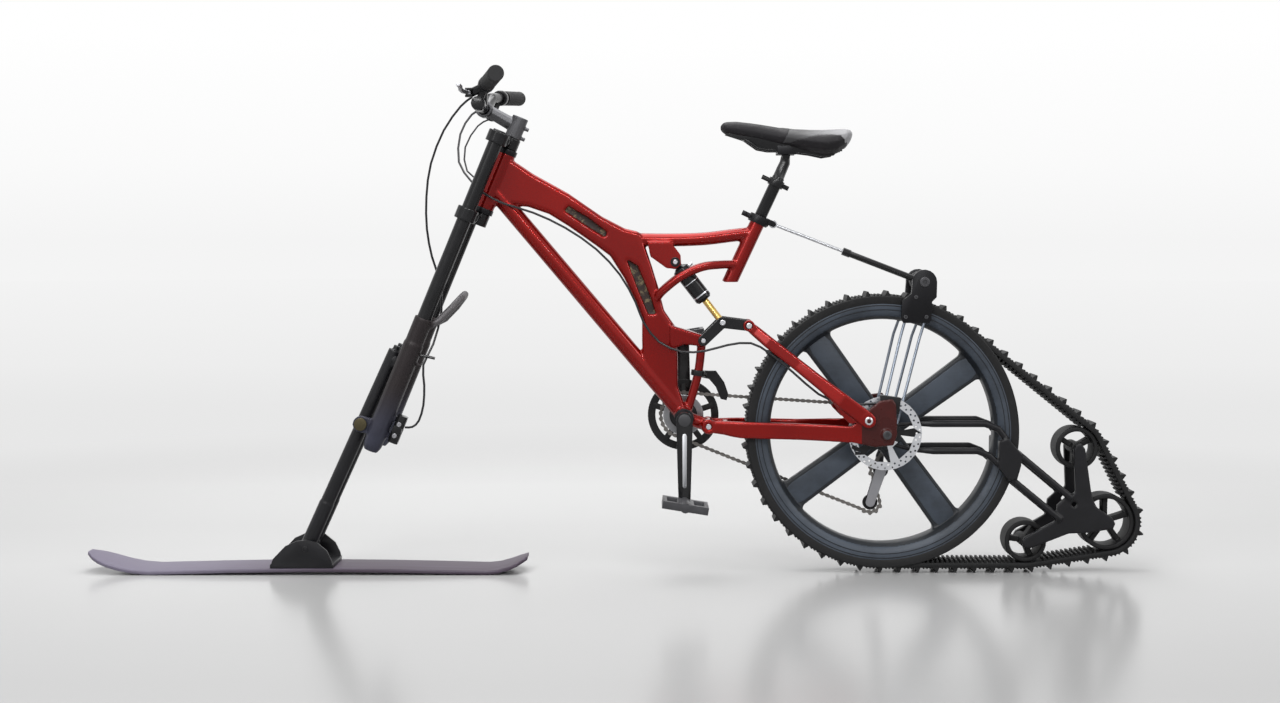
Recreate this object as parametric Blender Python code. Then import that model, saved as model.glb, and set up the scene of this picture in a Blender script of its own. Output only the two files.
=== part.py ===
"""Snow bike: a bicycle with a ski in front and a rubber track round its rear wheel.

Metres, +Z up, ski towards -X, chain side towards +Y. The ground is at Z = 0.
"""
import math

import bmesh
import bpy
from mathutils import Vector

# Clearances
clearance = 0.0003
running_clearance = 0.0004
open_pivot_clearance = 0.0019

# Rear axle, wheel and belt
wheel_front_x = 0.276
belt_radius = 0.298
belt_thickness = 0.012
stud_height = 0.010
stud_width = 0.009
stud_pitch = 0.041
belt_half_width = 0.035
flange_drop = 0.001
flange_outer = 0.0382
flange_depth = 0.017
belt_step = math.radians(18)
rim_depth = 0.0417
rim_half_width = 0.033
spoke_width = 0.060
spoke_half_thickness = 0.013
spoke_count = 4
spoke_first_angle = math.radians(36.0)
hub_radius = 0.036
hub_half_width = 0.038
hub_seat_radius = 0.022
hub_seat_end = 0.0605
axle_radius = 0.0075

# Track wheels: place behind the rear axle, radius and spokes
upper_idler_back = 0.425
upper_idler_drop = 0.037
upper_idler_radius = 0.047
lower_idler_back = 0.3125
lower_idler_radius = 0.046
tail_wheel_back = 0.489
tail_wheel_height = 0.110
tail_wheel_radius = 0.0615
track_wheel_half_width = 0.030
track_wheel_axle_radius = 0.006
track_wheel_rim_depth = 0.010
track_wheel_spoke_width = 0.012

# Brake rotor, calipers and cassette
rotor_radius = 0.080
rotor_thickness = 0.002
rotor_place = -0.067
rotor_band = 0.016
rotor_flange_radius = 0.030
cassette_start = 0.0612
cog_radii = (0.050, 0.043, 0.036, 0.029, 0.022)
cog_pitch = 0.0043
cog_thickness = 0.0016
cassette_core_radius = 0.0175
chain_cog = 1

# Rear triangle
dropout_inner = 0.083
dropout_thickness = 0.007
swingarm_pivot = (0.2035, 0.319)
pivot_pin_radius = 0.006
stay_width = 0.013
stay_depth = 0.036
stay_eye_inner = 0.0245
stay_eye_radius = 0.0165
dropout_pivot_offset = (-0.039, 0.030)
rocker_stay_pivot = (0.2915, 0.539)
rocker_frame_pivot = (0.1925, 0.506)
rocker_inner = 0.0225
rocker_thickness = 0.006
rocker_eye_radius = 0.012
rocker_pin_radius = 0.005
seat_stay_width = 0.012
seat_stay_depth = 0.026
seat_stay_bridge_radius = 0.0075
seat_stay_bridge_offset = (0.030, -0.025)
bridge_belt_gap = 0.012

# Shock
shock_upper_eye = (0.131, 0.678)
shock_lower_eye = (0.234, 0.546)
shock_body_radius = 0.019
shock_body_length = 0.106
shock_shaft_radius = 0.0075
shock_eye_radius = 0.011
shock_eye_half_width = 0.0115
shock_pin_radius = 0.004

# Cranks and chain
crank_axle = (0.150, 0.337)
shell_radius = 0.0215
shell_half_width = 0.034
cartridge_radius = 0.0172
spindle_radius = 0.012
crank_length = 0.175
crank_inner = 0.068
crank_thickness = 0.014
large_ring_radius = 0.079
large_ring_place = 0.056
ring_thickness = 0.003
small_ring_radius = 0.045
small_ring_place = 0.0465
chain_width = 0.006
chain_height = 0.008
chain_step = math.radians(18)
pedal_length = 0.098
pedal_width = 0.092
pedal_height = 0.022
pedal_spindle_radius = 0.007
pedal_tilt = math.radians(-9.0)

# Rear derailleur
guide_pulley_offset = (0.008, -0.096)
tension_pulley_offset = (-0.016, -0.168)
hanger_foot_offset = (0.020, -0.046)
pulley_radius = 0.017
pulley_width = 0.004
pulley_pin_radius = 0.003
cage_plate_thickness = 0.0015
cage_gap = 0.0045

# Main frame
head_tube_radius = 0.022
beam_half_thickness = 0.017
recess_depth = 0.008
down_tube_radius = 0.019
down_tube_top = (-0.270, 0.839)
seat_tube_radius = 0.0168
seat_tube_top = (0.319, 0.779)
seat_tube_length = 0.165
seat_angle = math.radians(25.1)
seat_post_radius = 0.0135
lower_brace_radius = 0.0095
lower_brace_side = 0.031
upper_brace_radius = 0.0145
rear_strut_radius = 0.010
guide_pin_radius = 0.003

# Fork
steering_angle = math.radians(22.14)
stanchion_foot = (-0.3885, 0.618)
steering_offset = 0.024
stanchion_side = 0.066
stanchion_radius = 0.016
stanchion_low = -0.235
crown_thickness = 0.028
lower_crown_low = 0.163
upper_crown_low = 0.343
upper_crown_thickness = 0.026
clamp_wall = 0.008
headset_height = 0.012
steerer_radius = 0.0143
steerer_top = 0.412
leg_radius = 0.0225
leg_top_radius = 0.0205
leg_top = -0.065
leg_bottom = -0.375
leg_bore_bottom = -0.345
front_axle = (-0.550, 0.328)
front_axle_radius = 0.010
caliper_bottom = -0.341
caliper_top = -0.279
caliper_depth = 0.022
caliper_side = -0.063
caliper_width = 0.028
piston_radius = 0.0105
pad_slot_width = 0.004
axle_lug_inner = 0.0525
axle_lug_outer = 0.0720

# Ski and its struts
ski_pivot = (-0.6725, 0.056)
strut_radius = 0.0155
strut_side = 0.035
strut_top_z = 0.4855
strut_sleeve_radius = 0.0170
strut_sleeve_top_z = 0.154
ski_pin_radius = 0.006
ski_width = 0.120
ski_thickness = 0.008
ski_camber = 0.006
ski_tip_x = -1.156
ski_front_contact_x = -1.013
ski_rear_contact_x = -0.280
ski_tail_x = -0.1925
ski_tip_rise = 0.036
ski_tail_rise = 0.027
mount_front_x = -0.749
mount_rear_x = -0.612
mount_height = 0.075
mount_base_height = 0.008
mount_cheek_inner = 0.0522
mount_cheek_outer = 0.0580

# Bar, stem and controls
bar_centre = (-0.289, 1.014)
bar_radius = 0.0117
bar_sides = 12
bar_rise_side = 0.130
bar_rise_place = (-0.280, 1.049)
bar_end_side = 0.330
bar_end_place = (-0.2365, 1.063)
grip_radius = 0.017
grip_inner_end = 0.206
stem_radius = 0.018
stem_clamp_radius = 0.019
perch_side = 0.184
perch_width = 0.014
perch_radius = 0.018
lever_pivot = (-0.3055, 1.036)
lever_reach = 0.100

# Saddle
saddle_nose_x = 0.231
saddle_tail_x = 0.518
saddle_ring_points = 16
rail_radius = 0.0035
rail_side = 0.022
clamp_centre = (0.3745, 0.923)
tilt_pin_drop = 0.012
tilt_pin_radius = 0.009

# Torque arm and its telescopic rod
boss_back = 0.0885
boss_above_belt = 0.029
boss_radius = 0.027
boss_pin_radius = 0.005
cheek_inner = 0.0415
cheek_thickness = 0.011
arm_ring_radius = 0.034
arm_ring_inner = 0.0415
arm_ring_width = 0.0095
torque_leg_radius = 0.0032
rod_pivot = (0.3465, 0.761)
rod_radius = 0.0038
rod_tube_radius = 0.0070
rod_tube_start = 0.168
arm_tube_radius = 0.0078
arm_tube_side = 0.052

wheel_sides = 36
hub_sides = 18
cog_sides = 14
chainring_sides = 26
track_wheel_sides = 20
round_sides = 14
small_sides = 8
flat_angle = math.radians(0.1)

# Worked-out places
rear_axle_z = belt_radius + stud_height
seat_stay_bridge = (rocker_stay_pivot[0] + seat_stay_bridge_offset[0],
                    rocker_stay_pivot[1] + seat_stay_bridge_offset[1])
bridge_reach = belt_radius + stud_height + bridge_belt_gap + seat_stay_bridge_radius
bridge_room = math.sqrt(bridge_reach ** 2 - (seat_stay_bridge[1] - rear_axle_z) ** 2)
rear_axle_x = max(wheel_front_x + belt_radius + stud_height, seat_stay_bridge[0] + bridge_room)
rear_axle = (rear_axle_x, rear_axle_z)
rim_radius = belt_radius - belt_thickness - clearance
rim_inner_radius = rim_radius - rim_depth
flange_radius = belt_radius - flange_drop
chain_cog_place = cassette_start + cog_pitch * chain_cog + cog_thickness / 2
tilt_pin_place = (clamp_centre[0], clamp_centre[1] - tilt_pin_drop)
upper_idler_centre = (rear_axle_x + upper_idler_back, rear_axle_z - upper_idler_drop)
lower_idler_centre = (rear_axle_x + lower_idler_back, stud_height + belt_thickness + lower_idler_radius)
tail_wheel_centre = (rear_axle_x + tail_wheel_back, tail_wheel_height)
boss_centre = (rear_axle_x + boss_back, rear_axle_z + belt_radius + boss_above_belt)
fork_up = Vector((math.sin(steering_angle), 0, math.cos(steering_angle)))
fork_back = Vector((math.cos(steering_angle), 0, -math.sin(steering_angle)))
seat_up = Vector((math.sin(seat_angle), 0, math.cos(seat_angle)))
seat_back = Vector((math.cos(seat_angle), 0, -math.sin(seat_angle)))


def beside(place, offsets):
    """Places in the side view, given by their offsets from another place."""
    return [(place[0] + x, place[1] + z) for x, z in offsets]


dropout_pivot, guide_pulley, tension_pulley, hanger_foot = beside(
    rear_axle, (dropout_pivot_offset, guide_pulley_offset, tension_pulley_offset, hanger_foot_offset))


# Scene and shape helpers
def clear_scene():
    for thing in list(bpy.data.objects):
        bpy.data.objects.remove(thing, do_unlink=True)


def paint(name, colour, roughness, metallic):
    """A plain material of one colour."""
    material = bpy.data.materials.new(name)
    material.use_nodes = True
    shader = material.node_tree.nodes["Principled BSDF"]
    shader.inputs["Base Color"].default_value = (*colour, 1)
    shader.inputs["Roughness"].default_value = roughness
    shader.inputs["Metallic"].default_value = metallic
    material.diffuse_color = (*colour, 1)
    return material


def at(place, side=0.0):
    """The point of a place in the side view, moved sideways."""
    return Vector((place[0], side, place[1]))


def fork_point(up, back=0.0, side=0.0):
    """A point given along the fork, behind its legs and to the side."""
    return at(stanchion_foot, side) + fork_up * up + fork_back * back


def seat_point(up, back=0.0, side=0.0):
    """A point given along the seat tube from its top, behind it and to the side."""
    return at(seat_tube_top, side) + seat_up * up + seat_back * back


def shape_from(vertices, faces):
    """A working object with its faces turned outwards."""
    mesh = bpy.data.meshes.new("shape")
    mesh.from_pydata([tuple(vertex) for vertex in vertices], [], faces)
    work = bmesh.new()
    work.from_mesh(mesh)
    bmesh.ops.recalc_face_normals(work, faces=work.faces)
    work.to_mesh(mesh)
    work.free()
    shape = bpy.data.objects.new("shape", mesh)
    bpy.context.scene.collection.objects.link(shape)
    return shape


def skin(rings, closed_route=False):
    """Join rings of points, all of one length, into a closed solid."""
    count = len(rings[0])
    vertices = [point for ring in rings for point in ring]
    faces = []
    steps = len(rings) if closed_route else len(rings) - 1
    for step in range(steps):
        first = step * count
        second = ((step + 1) % len(rings)) * count
        for corner in range(count):
            after = (corner + 1) % count
            faces.append((first + corner, first + after, second + after, second + corner))
    if not closed_route:
        faces.append(tuple(range(count)))
        faces.append(tuple(range(len(vertices) - count, len(vertices))))
    return shape_from(vertices, faces)


def prism(outline, low, high):
    """An outline in the side view, made solid from one side place to another."""
    return skin([[at(point, side) for point in outline] for side in (low, high)])


def circle(centre, radius, sides, turn=0.0):
    """Points round a circle in the side view."""
    angles = [turn + math.tau * step / sides for step in range(sides)]
    return [(centre[0] + radius * math.cos(a), centre[1] + radius * math.sin(a)) for a in angles]


def across(direction):
    """Two unit vectors square to a direction."""
    helper = Vector((0, 1, 0)) if abs(direction.y) < 0.9 else Vector((0, 0, 1))
    first = helper.cross(direction).normalized()
    return first, direction.cross(first).normalized()


def disc_ring(centre, direction, radius, sides):
    """Points round a circle square to a direction."""
    first, second = across(direction)
    angles = [math.tau * step / sides for step in range(sides)]
    return [centre + (first * math.cos(a) + second * math.sin(a)) * radius for a in angles]


def turned(profile, base, direction, sides, hollow=False):
    """A turned solid: profile points are a radius and a distance along the axis."""
    direction = direction.normalized()
    rings = [disc_ring(base + direction * along, direction, radius, sides)
             for radius, along in profile]
    return skin(rings, closed_route=hollow)


def rod(start, end, radius, sides=small_sides):
    """A round bar between two points."""
    length = (end - start).length
    return turned([(radius, 0), (radius, length)], start, end - start, sides)


def round_fit(radius, gap, sides):
    """The corner radius of a faceted bore that clears a round bar by a gap everywhere."""
    return (radius + gap) / math.cos(math.pi / sides)


def pin(place, radius, low, high, sides=small_sides):
    """A round bar across the bike."""
    return rod(at(place, low), at(place, high), radius, sides)


def bore(place, radius, low, high, gap=running_clearance, sides=small_sides):
    """A cutter for a hole across the bike, which clears a pin of a radius."""
    return pin(place, round_fit(radius, gap, sides), low, high, sides)


def ring_across(place, inner, outer, low, high, sides=round_sides):
    """A flat ring across the bike."""
    width = high - low
    profile = [(inner, 0), (outer, 0), (outer, width), (inner, width)]
    return turned(profile, at(place, low), Vector((0, 1, 0)), sides, hollow=True)


def block(centre, size, turn=0.0):
    """A box, turned in the side view."""
    half_x = size[0] / 2
    half_z = size[2] / 2
    corners = [(-half_x, -half_z), (half_x, -half_z), (half_x, half_z), (-half_x, half_z)]
    outline = [(centre[0] + x * math.cos(turn) - z * math.sin(turn),
                centre[2] + x * math.sin(turn) + z * math.cos(turn)) for x, z in corners]
    return prism(outline, centre[1] - size[1] / 2, centre[1] + size[1] / 2)


def hull(points):
    """The outer outline of points in the side view."""
    ordered = sorted(set((round(x, 7), round(z, 7)) for x, z in points))

    def half(sequence):
        kept = []
        for point in sequence:
            while len(kept) > 1:
                ax, az = kept[-2]
                bx, bz = kept[-1]
                if (bx - ax) * (point[1] - az) - (bz - az) * (point[0] - ax) > 1e-12:
                    break
                kept.pop()
            kept.append(point)
        return kept[:-1]

    return half(ordered) + half(ordered[::-1])


def link(first, first_radius, second, second_radius, low, high, sides=12):
    """A flat bar with round ends."""
    outline = hull(circle(first, first_radius, sides) + circle(second, second_radius, sides))
    return prism(outline, low, high)


def smooth(points, count):
    """Points of a smooth route through given points, with a number of steps between each pair."""
    points = [Vector(point) for point in points]
    ends = [points[0] * 2 - points[1]] + points + [points[-1] * 2 - points[-2]]
    route = []
    for index in range(1, len(ends) - 2):
        a, b, c, d = ends[index - 1:index + 3]
        for step in range(count):
            t = step / count
            route.append(0.5 * (2 * b + (c - a) * t + (2 * a - 5 * b + 4 * c - d) * t * t
                                + (3 * b - a - 3 * c + d) * t ** 3))
    return route + [points[-1]]


def route_directions(points):
    """The direction of a route at each of its points."""
    last = len(points) - 1
    return [(points[min(i + 1, last)] - points[max(i - 1, 0)]).normalized()
            for i in range(len(points))]


def sweep(points, section, reference=Vector((0, 1, 0))):
    """Carry a section along a route. A section is (side, up) offsets, or one list for each point."""
    points = [Vector(point) for point in points]
    sections = section if isinstance(section[0], list) else [section] * len(points)
    rings = []
    for point, direction, outline in zip(points, route_directions(points), sections):
        upward = direction.cross(reference).normalized()
        sideways = upward.cross(direction).normalized()
        rings.append([point + sideways * side + upward * up for side, up in outline])
    return skin(rings)


def round_section(radius, sides=small_sides, flatten=1.0):
    return [(radius * math.cos(math.tau * s / sides), radius * flatten * math.sin(math.tau * s / sides))
            for s in range(sides)]


def bar_section(width, depth, corner=0.25):
    """A rectangle with cut corners."""
    w = width / 2
    d = depth / 2
    c = corner * min(width, depth)
    return [(w, -d + c), (w, d - c), (w - c, d), (-w + c, d),
            (-w, d - c), (-w, -d + c), (-w + c, -d), (w - c, -d)]


def combine(base, adds=(), cuts=(), flatten=True):
    """Weld shapes to a base shape, then cut others out of it and join its flat faces."""
    for shapes, operation in ((adds, "UNION"), (cuts, "DIFFERENCE")):
        for shape in shapes:
            modifier = base.modifiers.new(operation, "BOOLEAN")
            modifier.operation = operation
            modifier.solver = "EXACT"
            modifier.object = shape
            shape.hide_render = True
            shape.display_type = "WIRE"
    graph = bpy.context.evaluated_depsgraph_get()
    mesh = bpy.data.meshes.new_from_object(base.evaluated_get(graph))
    work = bmesh.new()
    work.from_mesh(mesh)
    if flatten:
        bmesh.ops.dissolve_limit(work, angle_limit=flat_angle, verts=work.verts, edges=work.edges)
    work.to_mesh(mesh)
    work.free()
    for shape in (base, *adds, *cuts):
        bpy.data.objects.remove(shape, do_unlink=True)
    result = bpy.data.objects.new("shape", mesh)
    bpy.context.scene.collection.objects.link(result)
    return result


def joint(name, place, side=0.0, parent=None):
    """An empty on a joint's axis. Its stored place is the one in the whole bike."""
    empty = bpy.data.objects.new(name, None)
    bpy.context.scene.collection.objects.link(empty)
    empty["world"] = at(place, side)
    empty.location = empty["world"]
    if parent:
        empty.parent = parent
        empty.location = Vector(empty["world"]) - Vector(parent["world"])
    return empty


def sub_part(name, shape, material, parent=None):
    """Name a finished shape, colour it and hang it on its joint."""
    mesh = shape.data
    mesh.name = name
    shape.name = name
    mesh.materials.clear()
    mesh.materials.append(material)
    mesh.shade_smooth()
    mesh.set_sharp_from_angle(angle=math.radians(35))
    if parent:
        origin = Vector(parent["world"])
        for vertex in mesh.vertices:
            vertex.co -= origin
        shape.parent = parent
    return shape


# Loops round wheels
def tangent_loop(wheels):
    """Arcs of a loop round wheels, each a (x, z), a radius and a turning sense of 1 or -1."""
    count = len(wheels)
    headings = []
    for index in range(count):
        (x1, z1), r1, s1 = wheels[index]
        (x2, z2), r2, s2 = wheels[(index + 1) % count]
        distance = math.hypot(x2 - x1, z2 - z1)
        heading = math.atan2(z2 - z1, x2 - x1) - math.asin((r2 * s2 - r1 * s1) / distance)
        headings.append(heading)
    arcs = []
    for index in range(count):
        centre, radius, sense = wheels[index]
        start = headings[index - 1]
        sweep_angle = ((headings[index] - start) * sense) % math.tau
        arcs.append((centre, radius, sense, start, sweep_angle))
    return arcs


def arc_point(arc, part):
    """A point and heading on an arc, part of the way round it."""
    centre, radius, sense, start, sweep_angle = arc
    heading = start + sense * sweep_angle * part
    out = heading - sense * math.pi / 2
    return (centre[0] + radius * math.cos(out), centre[1] + radius * math.sin(out)), heading


def loop_points(wheels, widest_step):
    """Points and headings along a loop, at most an angle apart on its arcs."""
    points = []
    for arc in tangent_loop(wheels):
        steps = max(1, math.ceil(arc[4] / widest_step))
        points += [arc_point(arc, step / steps) for step in range(steps + 1)]
    return points


def loop_band(samples):
    """A closed band from samples of an inner place, an outer place and two side places."""
    rings = [[at(inner, low), at(outer, low), at(outer, high), at(inner, high)]
             for inner, outer, low, high in samples]
    return skin(rings, closed_route=True)


clear_scene()

red = paint("candy_red", (0.42, 0.010, 0.012), 0.22, 0.55)
dark_red = paint("dark_red", (0.20, 0.012, 0.012), 0.35, 0.4)
black = paint("satin_black", (0.012, 0.012, 0.014), 0.45, 0.2)
slate = paint("slate_grey", (0.072, 0.080, 0.095), 0.55, 0.0)
rubber = paint("black_rubber", (0.016, 0.016, 0.016), 0.75, 0.0)
steel = paint("bright_steel", (0.62, 0.63, 0.65), 0.28, 1.0)
grey_metal = paint("grey_aluminium", (0.30, 0.30, 0.32), 0.40, 0.9)
brass = paint("gold_shaft", (0.52, 0.36, 0.12), 0.25, 1.0)
fork_brown = paint("fork_brown_grey", (0.060, 0.048, 0.048), 0.40, 0.3)
lavender = paint("ski_lavender", (0.28, 0.26, 0.36), 0.40, 0.0)
saddle_black = paint("saddle_cover", (0.020, 0.018, 0.020), 0.50, 0.0)

# Joints of the bike, each an empty on its axis
steering = joint("steering_axis", (fork_point(lower_crown_low, steering_offset).x,
                                   fork_point(lower_crown_low, steering_offset).z))
lowers_slide = joint("fork_slide", stanchion_foot, parent=steering)
ski_hinge = joint("ski_hinge", ski_pivot, parent=lowers_slide)
post_slide = joint("post_slide", seat_tube_top)
saddle_hinge = joint("saddle_hinge", tilt_pin_place, parent=post_slide)
swingarm_hinge = joint("swingarm_hinge", swingarm_pivot)
stay_hinge = joint("stay_hinge", dropout_pivot, parent=swingarm_hinge)
rocker_hinge = joint("rocker_hinge", rocker_frame_pivot)
shock_hinge = joint("shock_hinge", shock_upper_eye)
shock_slide = joint("shock_slide", shock_lower_eye, parent=shock_hinge)
track_hinge = joint("track_hinge", rear_axle, parent=swingarm_hinge)
wheel_axis = joint("wheel_axis", rear_axle, parent=track_hinge)
cassette_axis = joint("cassette_axis", rear_axle, parent=swingarm_hinge)
upper_idler_axis = joint("upper_idler_axis", upper_idler_centre, parent=track_hinge)
lower_idler_axis = joint("lower_idler_axis", lower_idler_centre, parent=track_hinge)
tail_wheel_axis = joint("tail_wheel_axis", tail_wheel_centre, parent=track_hinge)
rod_hinge = joint("rod_hinge", rod_pivot)
rod_slide = joint("rod_slide", boss_centre, parent=rod_hinge)
crank_axis = joint("crank_axis", crank_axle)
cage_hinge = joint("cage_hinge", guide_pulley, parent=swingarm_hinge)
guide_axis = joint("guide_pulley_axis", guide_pulley, parent=cage_hinge)
tension_axis = joint("tension_pulley_axis", tension_pulley, parent=cage_hinge)
shifting_slide = joint("front_derailleur_slide", crank_axle)


def make_main_frame():
    """The welded frame: head tube, beam, down tube, braces, seat tube and pivot lugs."""
    head_low = lower_crown_low + crown_thickness + headset_height + 2 * clearance
    head_high = upper_crown_low - headset_height - 2 * clearance
    head = rod(fork_point(head_low, steering_offset), fork_point(head_high, steering_offset),
               head_tube_radius, round_sides)
    beam_outline = [(-0.2470, 0.9060), (-0.2260, 0.9020), (-0.1815, 0.8720), (-0.104, 0.8290),
                    (-0.030, 0.778), (0.020, 0.752), (0.054, 0.744), (0.064, 0.716), (0.080, 0.669),
                    (0.0935, 0.625), (0.107, 0.572), (0.131, 0.537), (0.137, 0.470), (0.1375, 0.405),
                    (0.156, 0.352), (0.143, 0.338),
                    (0.128, 0.348), (0.060, 0.452), (0.058, 0.506), (0.058, 0.550), (0.045, 0.590),
                    (0.019, 0.642), (-0.012, 0.691), (-0.047, 0.717), (-0.104, 0.757), (-0.146, 0.783),
                    (-0.1925, 0.799), (-0.284, 0.806)]
    beam = prism(beam_outline, -beam_half_thickness, beam_half_thickness)
    shell = pin(crank_axle, shell_radius, -shell_half_width, shell_half_width, round_sides)
    down_tube = rod(at(down_tube_top), at((0.143, 0.351)), down_tube_radius, round_sides)
    seat_tube = rod(seat_point(-seat_tube_length), seat_point(0), seat_tube_radius, round_sides)
    upper_brace = sweep([at((0.020, 0.728)), at((0.110, 0.7265)), at((0.190, 0.7285)),
                         at((0.258, 0.7365)), at((0.301, 0.741))], round_section(upper_brace_radius, 10))
    braces = []
    for side in (-1, 1):
        route = [at((0.088, 0.596), side * 0.010), at((0.106, 0.617), side * 0.024),
                 at((0.146, 0.648), side * lower_brace_side),
                 at((0.190, 0.667), side * lower_brace_side), at((0.230, 0.672), side * 0.020),
                 at((0.266, 0.673), side * 0.006)]
        braces.append(sweep(route, round_section(lower_brace_radius)))
    shock_lugs = []
    for low, high in ((-0.0180, -0.0120), (0.0120, 0.0180)):
        outline = [(0.070, 0.722), (0.122, 0.722), (0.143, 0.694), (0.145, 0.672), (0.132, 0.662),
                   (0.112, 0.664), (0.076, 0.690)]
        shock_lugs.append(prism(outline, low, high))
    lug_bridge = pin((0.096, 0.706), 0.013, -0.017, 0.017)
    shock_pin = pin(shock_upper_eye, shock_pin_radius, -0.0165, 0.0165)
    lug_side = rocker_inner - clearance
    rocker_lug = prism([(0.120, 0.540), (0.150, 0.531), (0.1985, 0.5155), (0.2035, 0.506), (0.199, 0.4955),
                        (0.190, 0.4935), (0.150, 0.497), (0.120, 0.485)], -lug_side, lug_side)
    rocker_pin = pin(rocker_frame_pivot, rocker_pin_radius, -(rocker_inner + rocker_thickness + 0.0025),
                     rocker_inner + rocker_thickness + 0.0025)
    rear_strut = sweep([at((0.190, 0.503)), at((0.181, 0.430)), at((0.158, 0.350))],
                       round_section(rear_strut_radius))
    pivot_lug = link(crank_axle, 0.016, swingarm_pivot, 0.0155, -(stay_eye_inner - clearance),
                     stay_eye_inner - clearance)
    pivot_pin = pin(swingarm_pivot, pivot_pin_radius, -0.0415, 0.0415)

    cuts = [rod(fork_point(head_low - 0.01, steering_offset), fork_point(head_high + 0.01, steering_offset),
                head_tube_radius - 0.0045, round_sides),
            rod(seat_point(-seat_tube_length - 0.04), seat_point(0.02),
                round_fit(seat_post_radius, clearance, round_sides), round_sides),
            bore(crank_axle, cartridge_radius, -0.05, 0.05, clearance, round_sides),
            block((0.235, 0, 0.604), (0.12, 0.08, 0.060))]
    slot = [(-0.112, 0.790), (-0.104, 0.802), (-0.060, 0.776), (-0.018, 0.744), (-0.022, 0.731),
            (-0.064, 0.757)]
    window = [(0.023, 0.686), (0.0495, 0.669), (0.078, 0.600), (0.090, 0.563), (0.0715, 0.563),
              (0.0495, 0.616)]
    for outline in (slot, window):
        for side in (-1, 1):
            edges = sorted((side * (beam_half_thickness - recess_depth), side * 0.03))
            cuts.append(prism(outline, edges[0], edges[1]))
    frame = combine(beam, [head, shell, down_tube, seat_tube, upper_brace, *braces, *shock_lugs,
                           lug_bridge, rocker_lug, rear_strut, pivot_lug], cuts)
    frame = combine(frame, [shock_pin, rocker_pin, pivot_pin])
    sub_part("main_frame", frame, red)


def make_headset():
    """The two bearing cups between the head tube and the crowns."""
    places = {"headset_lower": lower_crown_low + crown_thickness + clearance,
              "headset_upper": upper_crown_low - clearance - headset_height}
    for name, low in places.items():
        inner = round_fit(steerer_radius, running_clearance, round_sides)
        outer = head_tube_radius + 0.001
        profile = [(inner, 0), (outer, 0), (outer, headset_height), (inner, headset_height)]
        ring = turned(profile, fork_point(low, steering_offset), fork_up, round_sides, hollow=True)
        sub_part(name, ring, black)


def make_bottom_bracket():
    """The bearing cartridge in the frame's shell, with a flange at each end."""
    inner = round_fit(spindle_radius, running_clearance, round_sides)
    face = shell_half_width + clearance
    flange = face + 0.003
    profile = [(inner, -flange), (shell_radius, -flange), (shell_radius, -face),
               (cartridge_radius, -face), (cartridge_radius, face), (shell_radius, face),
               (shell_radius, flange), (inner, flange)]
    body = turned(profile, at(crank_axle), Vector((0, 1, 0)), round_sides, hollow=True)
    sub_part("bottom_bracket", body, black)


def collar(centre_up, height, outer, front_reach, rear_reach):
    """The pieces of a clamp on the seat tube or post: its band and a bolt ear in front and behind."""
    band = rod(seat_point(centre_up - height / 2), seat_point(centre_up + height / 2), outer, round_sides)
    ears = [sweep([seat_point(centre_up, reach * 0.3), seat_point(centre_up, reach)],
                  bar_section(0.012, height * 0.62)) for reach in (-front_reach, rear_reach)]
    return [band, *ears]


def make_seat_clamp():
    """The clamp at the top of the seat tube, with the pin that holds the telescopic rod."""
    inner = round_fit(seat_tube_radius, clearance, round_sides)
    band, *ears = collar(-0.0095, 0.018, inner + 0.005, 0.040, 0.024)
    forks = [link((rod_pivot[0] - 0.0085, rod_pivot[1] + 0.004), 0.0065, rod_pivot, 0.0065, low, high, 8)
             for low, high in ((-0.0100, -0.0055), (0.0055, 0.0100))]
    web = block((rod_pivot[0] - 0.0135, 0, rod_pivot[1] + 0.0060), (0.010, 0.020, 0.013), -seat_angle)
    bolt = rod(seat_point(-0.0095, -0.034, -0.0095), seat_point(-0.0095, -0.034, 0.0095), 0.0045)
    body = combine(band, [*ears, *forks, web, bolt],
                   [pin(rod_pivot, 0.0112, -0.0054, 0.0054),
                    rod(seat_point(-0.05), seat_point(0.05), inner, round_sides)])
    body = combine(body, [pin(rod_pivot, 0.0025, -0.0080, 0.0080)])
    sub_part("seat_clamp", body, black)


def make_seat_post():
    """The post, its upper clamp with two bolt ears and the head under the saddle."""
    shaft = rod(seat_point(-0.118), seat_point(0.094), seat_post_radius, round_sides)
    neck = sweep([seat_point(0.086), seat_point(0.112, -0.001), at((0.3725, 0.896)), at((0.3742, 0.9095))],
                 [round_section(r) for r in (0.0125, 0.0120, 0.0115, 0.0100)])
    clamp = collar(0.080, 0.016, seat_post_radius + 0.004, 0.034, 0.030)
    head = pin(tilt_pin_place, tilt_pin_radius, -0.014, 0.014)
    sub_part("seat_post", combine(shaft, [neck, *clamp, head]), black, post_slide)


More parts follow.
